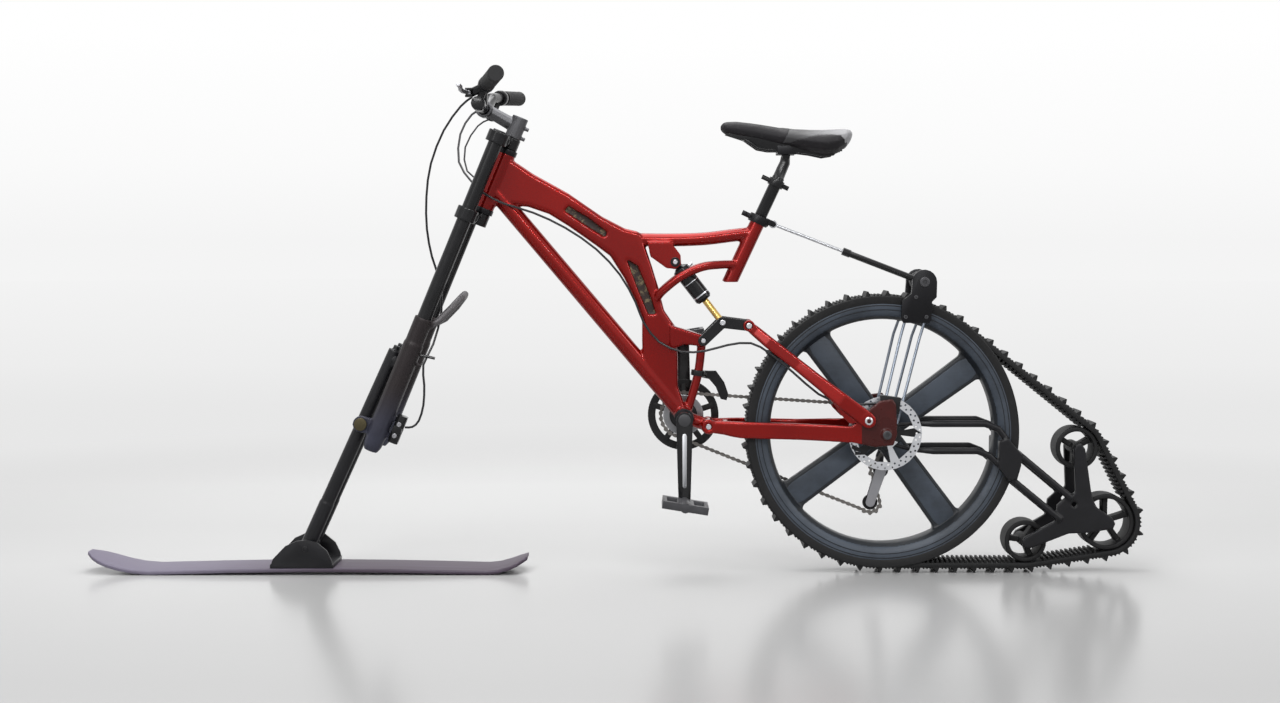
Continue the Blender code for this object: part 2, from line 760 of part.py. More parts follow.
def make_saddle():
    """Saddle cushion with its crown and drawn-in sides, its rails and the clamp on the post."""
    stations = [
        (0.000, 0.010, 0.9665, 0.9785), (0.030, 0.040, 0.9590, 0.9860), (0.120, 0.050, 0.9520, 0.9870),
        (0.280, 0.056, 0.9420, 0.9815), (0.430, 0.070, 0.9310, 0.9745), (0.560, 0.096, 0.9230, 0.9695),
        (0.680, 0.122, 0.9135, 0.9670), (0.780, 0.138, 0.9065, 0.9670), (0.880, 0.142, 0.9110, 0.9690),
        (0.950, 0.128, 0.9270, 0.9705), (0.985, 0.096, 0.9400, 0.9690), (1.000, 0.060, 0.9500, 0.9640)]
    length = saddle_tail_x - saddle_nose_x
    points = []
    sections = []
    for share, width, low, high in stations:
        points.append(at((saddle_nose_x + share * length, (low + high) / 2)))
        outline = []
        for step in range(saddle_ring_points):
            angle = math.tau * step / saddle_ring_points
            side = math.copysign(abs(math.cos(angle)) ** 0.8, math.cos(angle)) * width / 2
            rise = math.copysign(abs(math.sin(angle)) ** 0.75, math.sin(angle)) * (high - low) / 2
            if rise < 0:
                side *= 1 - 0.22 * (-rise / ((high - low) / 2)) ** 1.5
            else:
                rise *= 1 - 0.10 * (side / (width / 2)) ** 2
            outline.append((side, rise))
        sections.append(outline)
    rings = [[point + Vector((0, side, up)) for side, up in outline]
             for point, outline in zip(points, sections)]
    hollow = prism([(0.262, 0.900), (0.500, 0.880), (0.500, 0.9275), (0.440, 0.9345), (0.372, 0.9345),
                    (0.330, 0.9400), (0.285, 0.9530), (0.262, 0.9530)], -0.030, 0.030)
    cushion = combine(skin(rings), (), [hollow])
    sub_part("saddle", cushion, saddle_black, saddle_hinge)

    rail_route = [(0.4965, 0.9235), (0.475, 0.9235), (0.440, 0.9230), (0.4145, clamp_centre[1]),
                  (0.3345, clamp_centre[1]), (0.312, 0.9270), (0.292, 0.9410)]
    left = [at(place, -rail_side) for place in rail_route]
    right = [at(place, rail_side) for place in rail_route]
    nose = [at((0.284, 0.9462), -0.016), at((0.281, 0.9480), 0), at((0.284, 0.9462), 0.016)]
    rails = sweep(left + nose + right[::-1], round_section(rail_radius), Vector((0.2, 0, 1)))
    sub_part("saddle_rails", rails, steel, saddle_hinge)

    cradle = block((clamp_centre[0], 0, clamp_centre[1]), (0.040, 0.058, 0.019))
    post_space = bore(tilt_pin_place, tilt_pin_radius, -0.0143, 0.0143)
    slots = [rod(at((clamp_centre[0] - 0.05, clamp_centre[1]), side * rail_side),
                 at((clamp_centre[0] + 0.05, clamp_centre[1]), side * rail_side),
                 round_fit(rail_radius, clearance, small_sides)) for side in (-1, 1)]
    neck_space = block((clamp_centre[0], 0, clamp_centre[1] - 0.016), (0.060, 0.0286, 0.016))
    sub_part("saddle_clamp", combine(cradle, (), [post_space, neck_space, *slots]), grey_metal, saddle_hinge)


def crown_body(low, thickness):
    """One fork crown: two stanchion clamps, a middle boss and the bridge between them."""
    outer = stanchion_radius + clamp_wall
    middle = rod(fork_point(low, steering_offset), fork_point(low + thickness, steering_offset),
                 steerer_radius + 0.0055, round_sides)
    clamps = [rod(fork_point(low, 0, side), fork_point(low + thickness, 0, side), outer, round_sides)
              for side in (-stanchion_side, stanchion_side)]
    centre = low + thickness / 2
    bridge = sweep([fork_point(centre, 0.010, -stanchion_side), fork_point(centre, 0.010, stanchion_side)],
                   bar_section(0.034, thickness * 0.78), fork_back)
    space = stanchion_radius + clearance
    holes = [rod(fork_point(low - 0.01, 0, side * stanchion_side),
                 fork_point(low + thickness + 0.01, 0, side * stanchion_side), space, round_sides)
             for side in (-1, 1)]
    return middle, clamps + [bridge], holes


def make_crowns():
    """The two crowns. The steerer tube is pressed into the lower one."""
    middle, adds, holes = crown_body(lower_crown_low, crown_thickness)
    steerer = rod(fork_point(lower_crown_low + 0.002, steering_offset),
                  fork_point(steerer_top, steering_offset), steerer_radius, round_sides)
    sub_part("lower_crown", combine(combine(middle, adds, holes), [steerer]), black, steering)
    middle, adds, holes = crown_body(upper_crown_low, upper_crown_thickness)
    holes.append(rod(fork_point(upper_crown_low - 0.01, steering_offset), fork_point(0.40, steering_offset),
                     steerer_radius + clearance, round_sides))
    sub_part("upper_crown", combine(middle, adds, holes), black, steering)
    top = upper_crown_low + upper_crown_thickness + 0.002
    for name, side in (("left", -stanchion_side), ("right", stanchion_side)):
        profile = [(stanchion_radius, 0), (stanchion_radius, top - stanchion_low),
                   (0.012, top - stanchion_low + 0.003)]
        tube = turned(profile, fork_point(stanchion_low, 0, side), fork_up, round_sides)
        sub_part("stanchion_" + name, tube, black, steering)


def make_fork_lowers():
    """The two lower legs with their arch behind, the axle lugs and the caliper tabs."""
    shapes = []
    cuts = []
    for side in (-1, 1):
        length = leg_top - leg_bottom
        profile = [(0.0150, 0), (0.0200, 0.012), (leg_radius, 0.045), (leg_radius, length - 0.062),
                   (leg_top_radius, length - 0.056), (leg_top_radius, length)]
        foot = fork_point(leg_bottom, 0, side * stanchion_side)
        shapes.append(turned(profile, foot, fork_up, round_sides))
        cuts.append(rod(fork_point(leg_bore_bottom, 0, side * stanchion_side),
                        fork_point(leg_top + 0.02, 0, side * stanchion_side),
                        round_fit(stanchion_radius, running_clearance, round_sides), round_sides))
        edges = sorted((side * axle_lug_inner, side * axle_lug_outer))
        lug_root = fork_point(-0.322, 0.004)
        shapes.append(link(front_axle, 0.018, (lug_root.x, lug_root.z), 0.016, edges[0], edges[1]))
        cuts.append(bore(front_axle, front_axle_radius, edges[0] - 0.02, edges[1] + 0.01, clearance,
                         round_sides))
    arch_points = [fork_point(-0.088, 0.006, -stanchion_side), fork_point(-0.060, 0.031, -0.064),
                   fork_point(-0.024, 0.046, -0.052), fork_point(0.004, 0.055, -0.026),
                   fork_point(0.011, 0.057, 0), fork_point(0.004, 0.055, 0.026),
                   fork_point(-0.024, 0.046, 0.052), fork_point(-0.060, 0.031, 0.064),
                   fork_point(-0.088, 0.006, stanchion_side)]
    arch = sweep(arch_points, round_section(0.0085), fork_up + fork_back)
    for up in (caliper_top - 0.012, caliper_bottom + 0.012):
        tab = fork_point(up, 0.0205)
        shapes.append(block((tab.x, -stanchion_side, tab.z), (0.0120, 0.014, 0.012), -steering_angle))
    guide = fork_point(-0.165, 0.026)
    shapes.append(block((guide.x, -stanchion_side, guide.z), (0.016, 0.006, 0.006), -steering_angle))
    first = shapes.pop(0)
    sub_part("fork_lowers", combine(first, shapes + [arch], cuts), fork_brown, lowers_slide)

    head_face = axle_lug_outer + clearance
    head_radius = front_axle_radius + 0.004
    profile = [(head_radius, -head_face - 0.006), (head_radius, -head_face), (front_axle_radius, -head_face),
               (front_axle_radius, head_face), (head_radius, head_face), (head_radius, head_face + 0.006)]
    axle = turned(profile, at(front_axle), Vector((0, 1, 0)), round_sides)
    sub_part("front_axle", axle, grey_metal, lowers_slide)

    caliper_back = 0.0265 + clearance + caliper_depth / 2
    across_bike = Vector((0, 1, 0))
    body = sweep([fork_point(up, caliper_back, caliper_side) for up in (caliper_bottom, caliper_top)],
                 bar_section(caliper_width, caliper_depth), across_bike)
    middle = (caliper_bottom + caliper_top) / 2
    pistons = rod(fork_point(middle, caliper_back, caliper_side - 0.022),
                  fork_point(middle, caliper_back, caliper_side + 0.020), piston_radius, 12)
    slot = sweep([fork_point(middle + up, caliper_back + 0.010, caliper_side) for up in (-0.024, 0.024)],
                 bar_section(pad_slot_width, 0.032, 0.1), across_bike)
    sub_part("front_caliper", combine(body, [pistons], [slot]), black, lowers_slide)


def make_ski_struts():
    """The pair of struts on the front axle that carry the ski, joined round the ski's bolt."""
    rise = (front_axle[0] - ski_pivot[0]) / (front_axle[1] - ski_pivot[1])

    def strut_place(height, side):
        return at((ski_pivot[0] + (height - ski_pivot[1]) * rise, height), side)

    shapes = []
    cuts = [bore(ski_pivot, ski_pin_radius, -0.07, 0.07),
            bore(front_axle, front_axle_radius, -0.052, 0.052, clearance, round_sides)]
    for side in (-strut_side, strut_side):
        shapes.append(rod(strut_place(ski_pivot[1], side), strut_place(strut_top_z, side), strut_radius, 12))
        shapes.append(rod(strut_place(ski_pivot[1] + 0.004, side), strut_place(strut_sleeve_top_z, side),
                          strut_sleeve_radius - 0.0002, 12))
        shapes.append(pin(ski_pivot, 0.0180, side - 0.0160, side + 0.0160, round_sides))
        shapes.append(rod(strut_place(strut_top_z - 0.002, side), strut_place(strut_top_z + 0.010, side),
                          0.0085, 8))
        level = fork_point(-0.168, 0)
        near = strut_place(level.z - 0.004, side)
        far = Vector((level.x, math.copysign(stanchion_side, side), level.z))
        shapes.append(sweep([near, near.lerp(far, 0.75)], bar_section(0.016, 0.022)))
        cuts.append(rod(fork_point(-0.24, 0, math.copysign(stanchion_side, side)),
                        fork_point(-0.10, 0, math.copysign(stanchion_side, side)),
                        round_fit(leg_radius, clearance, round_sides), round_sides))
    shapes.append(pin(ski_pivot, 0.0120, -0.022, 0.022))
    first = shapes.pop(0)
    sub_part("ski_struts", combine(first, shapes, cuts), black, lowers_slide)


def ski_bottom(x):
    """Height of the ski's sole at a place along it."""
    if x < ski_front_contact_x:
        share = (ski_front_contact_x - x) / (ski_front_contact_x - ski_tip_x)
        return ski_tip_rise * share ** 1.8
    if x > ski_rear_contact_x:
        share = (x - ski_rear_contact_x) / (ski_tail_x - ski_rear_contact_x)
        return ski_tail_rise * share ** 1.8
    share = (x - ski_front_contact_x) / (ski_rear_contact_x - ski_front_contact_x)
    return ski_camber * math.sin(math.pi * share)


def ski_half_width(x):
    """Half the ski's width, rounded at its tip and tail."""
    tip = min(1.0, max(0.0, (x - ski_tip_x) / 0.060))
    tail = min(1.0, max(0.0, (ski_tail_x - x) / 0.036))
    tip_share = max(0.30, math.sqrt(1 - (1 - tip) ** 2))
    tail_share = max(0.45, math.sqrt(1 - (1 - tail) ** 2))
    return ski_width / 2 * tip_share * tail_share


def make_ski():
    """The ski, and the humped bracket on it that holds the struts' bolt."""
    places = [ski_tip_x, -1.150, -1.140, -1.125, -1.105, -1.080, -1.050, ski_front_contact_x, -0.930, -0.840,
              -0.749, -0.6775, -0.606, -0.500, -0.390, ski_rear_contact_x, -0.255, -0.230, -0.213, -0.201,
              ski_tail_x]
    rings = []
    for x in places:
        low = ski_bottom(x)
        half = ski_half_width(x)
        top = low + ski_thickness
        rings.append([Vector((x, -half, low)), Vector((x, half, low)), Vector((x, half, top - 0.002)),
                      Vector((x, half - 0.003, top)), Vector((x, -half + 0.003, top)),
                      Vector((x, -half, top - 0.002))])
    sub_part("ski", skin(rings), lavender, ski_hinge)

    base_low = ski_camber + ski_thickness + clearance
    base = block(((mount_front_x + mount_rear_x) / 2, 0, base_low + mount_base_height / 2),
                 (mount_rear_x - mount_front_x, 2 * mount_cheek_outer, mount_base_height))
    hump = [(mount_front_x, base_low), (mount_front_x + 0.006, 0.034), (mount_front_x + 0.033, 0.062),
            (mount_front_x + 0.058, mount_height - 0.002), (mount_front_x + 0.078, mount_height),
            (mount_front_x + 0.100, mount_height - 0.004), (mount_rear_x - 0.014, 0.052),
            (mount_rear_x - 0.003, 0.030), (mount_rear_x, base_low)]
    cheeks = [prism(hump, low, high) for low, high in ((-mount_cheek_outer, -mount_cheek_inner),
                                                       (mount_cheek_inner, mount_cheek_outer))]
    bolt = pin(ski_pivot, ski_pin_radius, -mount_cheek_outer - 0.002, mount_cheek_outer + 0.002)
    sub_part("ski_mount", combine(base, [*cheeks, bolt]), black, ski_hinge)


def make_stem_and_bar():
    """The stem on the steerer, the riser bar in it and the two grips."""
    low = upper_crown_low + upper_crown_thickness + clearance
    quill = rod(fork_point(low, steering_offset), fork_point(steerer_top + 0.006, steering_offset),
                stem_radius, round_sides)
    arm = sweep([fork_point(0.3950, steering_offset), at((-0.272, 1.0055)), at(bar_centre)],
                [round_section(r, 10, 1.2) for r in (0.0135, 0.0120, 0.0120)])
    clamp = pin(bar_centre, stem_clamp_radius, -0.023, 0.023, round_sides)
    bolts = [rod(fork_point(up, steering_offset + 0.012), fork_point(up, steering_offset + 0.027), 0.0045, 6)
             for up in (0.375, 0.398)]
    cuts = [rod(fork_point(low - 0.02, steering_offset),
                fork_point(steerer_top + clearance, steering_offset),
                steerer_radius + clearance, round_sides),
            bore(bar_centre, bar_radius, -0.04, 0.04, clearance, bar_sides)]
    sub_part("stem", combine(quill, [arm, clamp, *bolts], cuts), grey_metal, steering)

    half = [at(bar_centre, 0.0), at(bar_centre, 0.030), at((-0.2885, 1.0165), 0.048),
            at((-0.2845, 1.0350), 0.092), at((-0.2820, 1.0455), 0.112), at(bar_rise_place, bar_rise_side),
            at(bar_end_place, bar_end_side)]
    route = [Vector((p.x, -p.y, p.z)) for p in half[:0:-1]] + half
    bar = sweep(route, round_section(bar_radius, bar_sides), Vector((0, 0, 1)))
    sub_part("handlebar", bar, grey_metal, steering)
    for name, side in (("left", -1), ("right", 1)):
        start = bar_place(grip_inner_end, side)
        end = bar_place(bar_end_side + 0.002, side)
        direction = (end - start).normalized()
        length = (end - start).length
        profile = [(grip_radius - 0.002, 0), (grip_radius, 0.002), (grip_radius, length - 0.004),
                   (grip_radius - 0.003, length)]
        grip = turned(profile, start, direction, round_sides)
        space = rod(start - direction * 0.01, bar_place(bar_end_side + clearance, side),
                    round_fit(bar_radius, clearance, bar_sides), bar_sides)
        sub_part("grip_" + name, combine(grip, (), [space]), rubber, steering)


def bar_place(side_place, side=1):
    """A point on the straight outer part of the bar."""
    share = (side_place - bar_rise_side) / (bar_end_side - bar_rise_side)
    start = at(bar_rise_place, side * bar_rise_side)
    return start.lerp(at(bar_end_place, side * bar_end_side), share)


def make_controls():
    """Brake lever perches with their shifter pods, and the two brake levers."""
    for name, side in (("left", -1), ("right", 1)):
        centre = bar_place(perch_side, side)
        direction = (bar_place(bar_end_side, side) - centre).normalized()
        reach = direction * perch_width / 2
        ring = rod(centre - reach, centre + reach, perch_radius, round_sides)
        pivot = at(lever_pivot, side * perch_side)
        reservoir = sweep([centre + Vector((-0.004, -side * 0.004, -0.004)),
                           pivot + Vector((0.002, -side * 0.012, -0.0005))],
                          bar_section(0.024, 0.018), Vector((0, 1, 0.2)))
        pod = rod(at((-0.286, 1.012), side * 0.150), at((-0.286, 1.014), side * 0.186), 0.0150, 12)
        neck = sweep([centre + Vector((-0.002, 0, 0.0)), at((-0.284, 1.016), side * 0.176)],
                     bar_section(0.012, 0.014), Vector((0, 1, 0.1)))
        hinge_pin = rod(pivot - Vector((0, 0, 0.0085)), pivot + Vector((0, 0, 0.0085)), 0.0028, 8)
        holder = block((pivot.x, pivot.y - side * 0.002, pivot.z), (0.014, 0.016, 0.0190))
        space = rod(centre - direction * 0.05, centre + direction * 0.05,
                    round_fit(bar_radius, clearance, bar_sides), bar_sides)
        lever_slot = block((pivot.x - 0.004, pivot.y + side * 0.002, pivot.z), (0.026, 0.024, 0.0096))
        perch = combine(ring, [reservoir, pod, neck, holder], [space, lever_slot])
        sub_part("brake_perch_" + name, combine(perch, [hinge_pin]), black, steering)

        hinge = joint("lever_hinge_" + name, lever_pivot, side * perch_side, steering)
        boss = rod(pivot - Vector((0, 0, 0.0043)), pivot + Vector((0, 0, 0.0043)), 0.0058, 12)
        blade_route = [pivot + Vector((x, side * out, z)) for x, out, z in (
            (-0.001, 0.002, 0), (-0.010, 0.016, 0.001), (-0.013, 0.040, 0.003), (-0.010, 0.075, 0.006),
            (-0.012, lever_reach, 0.008))]
        blade = sweep(blade_route, [bar_section(d, 0.0080) for d in (0.008, 0.010, 0.009, 0.009, 0.008)],
                      Vector((1, 0, 0)))
        hole = rod(pivot - Vector((0, 0, 0.02)), pivot + Vector((0, 0, 0.02)),
                   round_fit(0.0028, running_clearance, 8), 8)
        sub_part("brake_lever_" + name, combine(boss, [blade], [hole]), grey_metal, hinge)


def make_swingarm():
    """The chain stays with their dropouts, bridge and rear axle."""
    outer = dropout_inner + dropout_thickness
    eye_outer = stay_eye_inner + 0.0175
    shapes = []
    cuts = [bore(swingarm_pivot, pivot_pin_radius, -0.06, 0.06)]
    for side in (-1, 1):
        def span(low, high):
            return sorted((side * low, side * high))
        shapes.append(pin(swingarm_pivot, stay_eye_radius, *span(stay_eye_inner, eye_outer), round_sides))
        places = (beside(swingarm_pivot, ((0.005, -0.0005), (0.0335, -0.0025), (0.0535, -0.0045),
                                          (0.0715, -0.006)))
                  + beside(rear_axle, ((-0.184, 0.002), (-0.129, 0.001), (-0.081, 0), (-0.060, 0))))
        sides = (0.0335, 0.0350, 0.0435, 0.0495, 0.0510, 0.0690, 0.0865, 0.0865)
        route = [at(place, side * out) for place, out in zip(places, sides)]
        widths = [stay_width + more for more in (0.0020, 0.0020, 0.0010, -0.0005, 0, -0.0030)]
        widths += [dropout_thickness, dropout_thickness]
        depths = [stay_depth - less for less in (0.010, 0.006, 0.002, 0, 0, 0, 0, 0)]
        shapes.append(sweep(route, [bar_section(w, d) for w, d in zip(widths, depths)]))
        plate = hull(beside(rear_axle, ((-0.072, -0.018), (-0.072, 0.019), (-0.049, 0.044), (-0.014, 0.072),
                                        (0.014, 0.076), (0.022, 0.064), (0.024, 0), (0.016, -0.024),
                                        (-0.024, -0.028))))
        shapes.append(prism(plate, *span(dropout_inner, outer)))
        if side > 0:
            hanger_root = beside(rear_axle, ((0.014, -0.016),))[0]
            shapes.append(link(hanger_root, 0.013, hanger_foot, 0.009, dropout_inner, outer, 12))
        pin_end = outer + seat_stay_width + 0.004
        shapes.append(pin(dropout_pivot, pivot_pin_radius, *span(outer - 0.002, pin_end)))
        shapes.append(pin(rear_axle, axle_radius + 0.004, *span(outer - 0.001, outer + 0.006)))
    shapes.append(block((swingarm_pivot[0] + 0.038, 0, swingarm_pivot[1] - 0.0025), (0.011, 0.066, 0.024)))
    shapes.append(pin(rear_axle, axle_radius, -outer, outer, round_sides))
    first = shapes.pop(0)
    sub_part("chain_stays", combine(first, shapes, cuts), red, swingarm_hinge)


def make_seat_stays():
    """The seat stays and the bridge between them."""
    outer = dropout_inner + dropout_thickness + clearance
    rear_side = outer + seat_stay_width / 2
    front_side = rocker_inner + rocker_thickness + clearance + seat_stay_width / 2
    shapes = []
    cuts = []
    for side in (-1, 1):
        half = seat_stay_width / 2
        low, high = sorted((side * (front_side - half), side * (front_side + half)))
        shapes.append(pin(rocker_stay_pivot, 0.0130, low, high, 12))
        low, high = sorted((side * outer, side * (outer + seat_stay_width)))
        shapes.append(pin(dropout_pivot, 0.0165, low, high, 12))
        places = (beside(rocker_stay_pivot, ((0.0015, -0.001), (0.0145, -0.012), (0.0425, -0.0355)))
                  + beside(dropout_pivot, ((-0.150, 0.118), (-0.100, 0.078), (-0.057, 0.044),
                                           (-0.002, 0.002))))
        sides = (front_side, front_side + 0.001, 0.0485, 0.0600, 0.0800, rear_side, rear_side)
        route = [at(place, side * out) for place, out in zip(places, sides)]
        widths = [seat_stay_width - less for less in (0.0005, 0.0005, 0.0005, 0.0010, 0.0015, 0.0010, 0.0010)]
        depths = [seat_stay_depth + more for more in (-0.006, -0.002, 0, 0, 0.002, 0.006, 0.008)]
        shapes.append(sweep(route, [bar_section(w, d) for w, d in zip(widths, depths)]))
        cuts.append(bore(rocker_stay_pivot, rocker_pin_radius, *sorted((side * 0.02, side * 0.06)),
                         open_pivot_clearance))
        cuts.append(bore(dropout_pivot, pivot_pin_radius, *sorted((side * 0.07, side * 0.13))))
    shapes.append(pin(seat_stay_bridge, seat_stay_bridge_radius, -0.042, 0.042))
    first = shapes.pop(0)
    sub_part("seat_stays", combine(first, shapes, cuts), red, stay_hinge)


def make_rocker():
    """The rocker link: two curved cheeks joined by the pin through the shock's lower eye."""
    shapes = []
    cuts = []
    for side in (-1, 1):
        low, high = sorted((side * rocker_inner, side * (rocker_inner + rocker_thickness)))
        front = link(rocker_frame_pivot, rocker_eye_radius, shock_lower_eye, 0.0125, low, high)
        rear = link(shock_lower_eye, 0.0125, rocker_stay_pivot, rocker_eye_radius, low, high)
        shapes += [front, rear]
        cuts.append(bore(rocker_frame_pivot, rocker_pin_radius, low - 0.01, high + 0.01))
        near, far = sorted((side * (rocker_inner + 0.002), side * (rocker_inner + rocker_thickness
                                                                    + seat_stay_width + 0.002)))
        shapes.append(pin(rocker_stay_pivot, rocker_pin_radius, near, far))
    shapes.append(pin(shock_lower_eye, shock_pin_radius, -rocker_inner - 0.003, rocker_inner + 0.003))
    first = shapes.pop(0)
    sub_part("rocker_link", combine(first, shapes, cuts), black, rocker_hinge)


def make_shock():
    """The shock's body on the frame and its shaft down to the rocker."""
    upper = at(shock_upper_eye)
    lower = at(shock_lower_eye)
    along = (lower - upper).normalized()
    eye = pin(shock_upper_eye, shock_eye_radius, -shock_eye_half_width, shock_eye_half_width, 14)
    neck = rod(upper + along * 0.004, upper + along * 0.020, 0.0085)
    profile = [(0.0130, 0.015), (shock_body_radius, 0.019), (shock_body_radius, 0.100),
               (0.0150, shock_body_length)]
    body = turned(profile, upper, along, round_sides)
    space = rod(upper + along * 0.052, upper + along * (shock_body_length + 0.02),
                round_fit(shock_shaft_radius, running_clearance, round_sides), round_sides)
    eye_hole = bore(shock_upper_eye, shock_pin_radius, -0.03, 0.03)
    sub_part("shock_body", combine(eye, [neck, body], [space, eye_hole]), black, shock_hinge)
    length = (lower - upper).length
    shaft = rod(upper + along * 0.080, upper + along * (length - 0.008), shock_shaft_radius, round_sides)
    foot = pin(shock_lower_eye, shock_eye_radius, -0.0145, 0.0145, 14)
    hole = bore(shock_lower_eye, shock_pin_radius, -0.03, 0.03, open_pivot_clearance)
    sub_part("shock_shaft", combine(shaft, [foot], [hole]), brass, shock_slide)


def spoke_outlines(centre, inner, outer, width, count, first_angle):
    """Straight spoke outlines between two radii."""
    outlines = []
    for number in range(count):
        angle = first_angle + math.tau * number / count
        out = (math.cos(angle), math.sin(angle))
        aside = (-out[1], out[0])
        outline = []
        half = width / 2
        for radius, off in ((inner, -half), (outer, -half), (outer, half), (inner, half)):
            outline.append((centre[0] + out[0] * radius + aside[0] * off,
                            centre[1] + out[1] * radius + aside[1] * off))
        outlines.append(outline)
    return outlines


def sector(centre, inner, outer, start, end, steps):
    """The outline of a window between two radii and two angles."""
    angles = [start + (end - start) * step / steps for step in range(steps + 1)]
    return ([(centre[0] + inner * math.cos(a), centre[1] + inner * math.sin(a)) for a in angles]
            + [(centre[0] + outer * math.cos(a), centre[1] + outer * math.sin(a)) for a in reversed(angles)])


def make_wheel():
    """The moulded drive wheel, the brake rotor on its hub and the cassette beside it."""
    half_profile = [(rim_radius, belt_half_width + running_clearance),
                    (flange_radius, belt_half_width + running_clearance), (flange_radius, flange_outer),
                    (flange_radius - flange_depth, flange_outer),
                    (rim_inner_radius + 0.008, rim_half_width), (rim_inner_radius, rim_half_width * 0.6)]
    rim_profile = half_profile + [(radius, -along) for radius, along in reversed(half_profile)]
    rim = turned(rim_profile, at(rear_axle), Vector((0, 1, 0)), wheel_sides, hollow=True)
    disc_face = rotor_place + rotor_thickness / 2 + clearance
    neck = 0.0120
    hub_profile = [(neck, -dropout_inner + clearance), (neck, disc_face), (rotor_flange_radius, disc_face),
                   (rotor_flange_radius, disc_face + 0.003), (hub_seat_radius, disc_face + 0.003),
                   (hub_seat_radius, -hub_half_width), (hub_radius, -hub_half_width),
                   (hub_radius, hub_half_width), (hub_seat_radius, hub_half_width),
                   (hub_seat_radius, hub_seat_end)]
    hub = turned(hub_profile, at(rear_axle), Vector((0, 1, 0)), hub_sides)
    spokes = [prism(outline, -spoke_half_thickness, spoke_half_thickness) for outline in
              spoke_outlines(rear_axle, 0.020, rim_inner_radius + 0.006, spoke_width, spoke_count,
                             spoke_first_angle)]
    axle_hole = bore(rear_axle, axle_radius, -0.1, 0.1, running_clearance, round_sides)
    wheel = combine(rim, [hub, *spokes], [axle_hole])
    sub_part("drive_wheel", wheel, slate, wheel_axis)

    low = rotor_place - rotor_thickness / 2
    high = rotor_place + rotor_thickness / 2
    disc = ring_across(rear_axle, round_fit(neck, clearance, hub_sides), rotor_radius, low, high, 30)
    windows = [prism(sector(rear_axle, rotor_flange_radius + 0.004, rotor_radius - rotor_band,
                            math.tau * (number + 0.14) / 5, math.tau * (number + 0.90) / 5, 2),
                     low - 0.01, high + 0.01) for number in range(5)]
    sub_part("brake_rotor", combine(disc, (), windows, False), steel, wheel_axis)

    space = round_fit(axle_radius, running_clearance, cog_sides)
    profile = [(space, 0)]
    for number, radius in enumerate(cog_radii):
        start = number * cog_pitch
        profile += [(radius, start), (radius, start + cog_thickness)]
        if number < len(cog_radii) - 1:
            profile += [(cassette_core_radius, start + cog_thickness),
                        (cassette_core_radius, start + cog_pitch)]
    profile.append((space, profile[-1][1]))
    cassette = turned(profile, at(rear_axle, cassette_start), Vector((0, 1, 0)), cog_sides, hollow=True)
    sub_part("cassette", cassette, grey_metal, cassette_axis)


def make_rear_caliper():
    """The caliper over the rotor, against the left dropout."""
    turn = math.radians(82)
    reach = 0.064
    centre = (rear_axle[0] + reach * math.cos(turn), rear_axle[1] + reach * math.sin(turn))
    outer_face = -dropout_inner + clearance
    inner_face = rotor_place + 0.0070
    middle = (outer_face + inner_face) / 2
    body = block((centre[0], middle, centre[1]), (0.044, inner_face - outer_face, 0.036),
                 turn - math.pi / 2)
    gap = rotor_thickness / 2 + 0.0006
    slot = pin(rear_axle, rotor_radius + 0.0020, rotor_place - gap, rotor_place + gap, 30)
    sub_part("rear_caliper", combine(body, (), [slot]), black, swingarm_hinge)


def track_wheel(name, centre, radius, spokes, parent, first_angle):
    """One of the small wheels that guide the belt."""
    half = track_wheel_half_width
    band = ring_across(centre, radius - track_wheel_rim_depth, radius, -half, half, track_wheel_sides)
    hub = pin(centre, 0.0135, -half - 0.006, half + 0.006, 12)
    arms = [prism(outline, -half * 0.5, half * 0.5) for outline in
            spoke_outlines(centre, 0.004, radius - track_wheel_rim_depth + 0.002, track_wheel_spoke_width,
                           spokes, first_angle)]
    hole = bore(centre, track_wheel_axle_radius, -0.06, 0.06)
    sub_part(name, combine(band, [hub, *arms], [hole]), black, parent)


def belt_wheels(gap):
    """The wheels that the belt goes round, from the drive wheel along the ground."""
    return [(rear_axle, rim_radius + gap, 1), (lower_idler_centre, lower_idler_radius + gap, 1),
            (tail_wheel_centre, tail_wheel_radius + gap, 1),
            (upper_idler_centre, upper_idler_radius + gap, 1)]


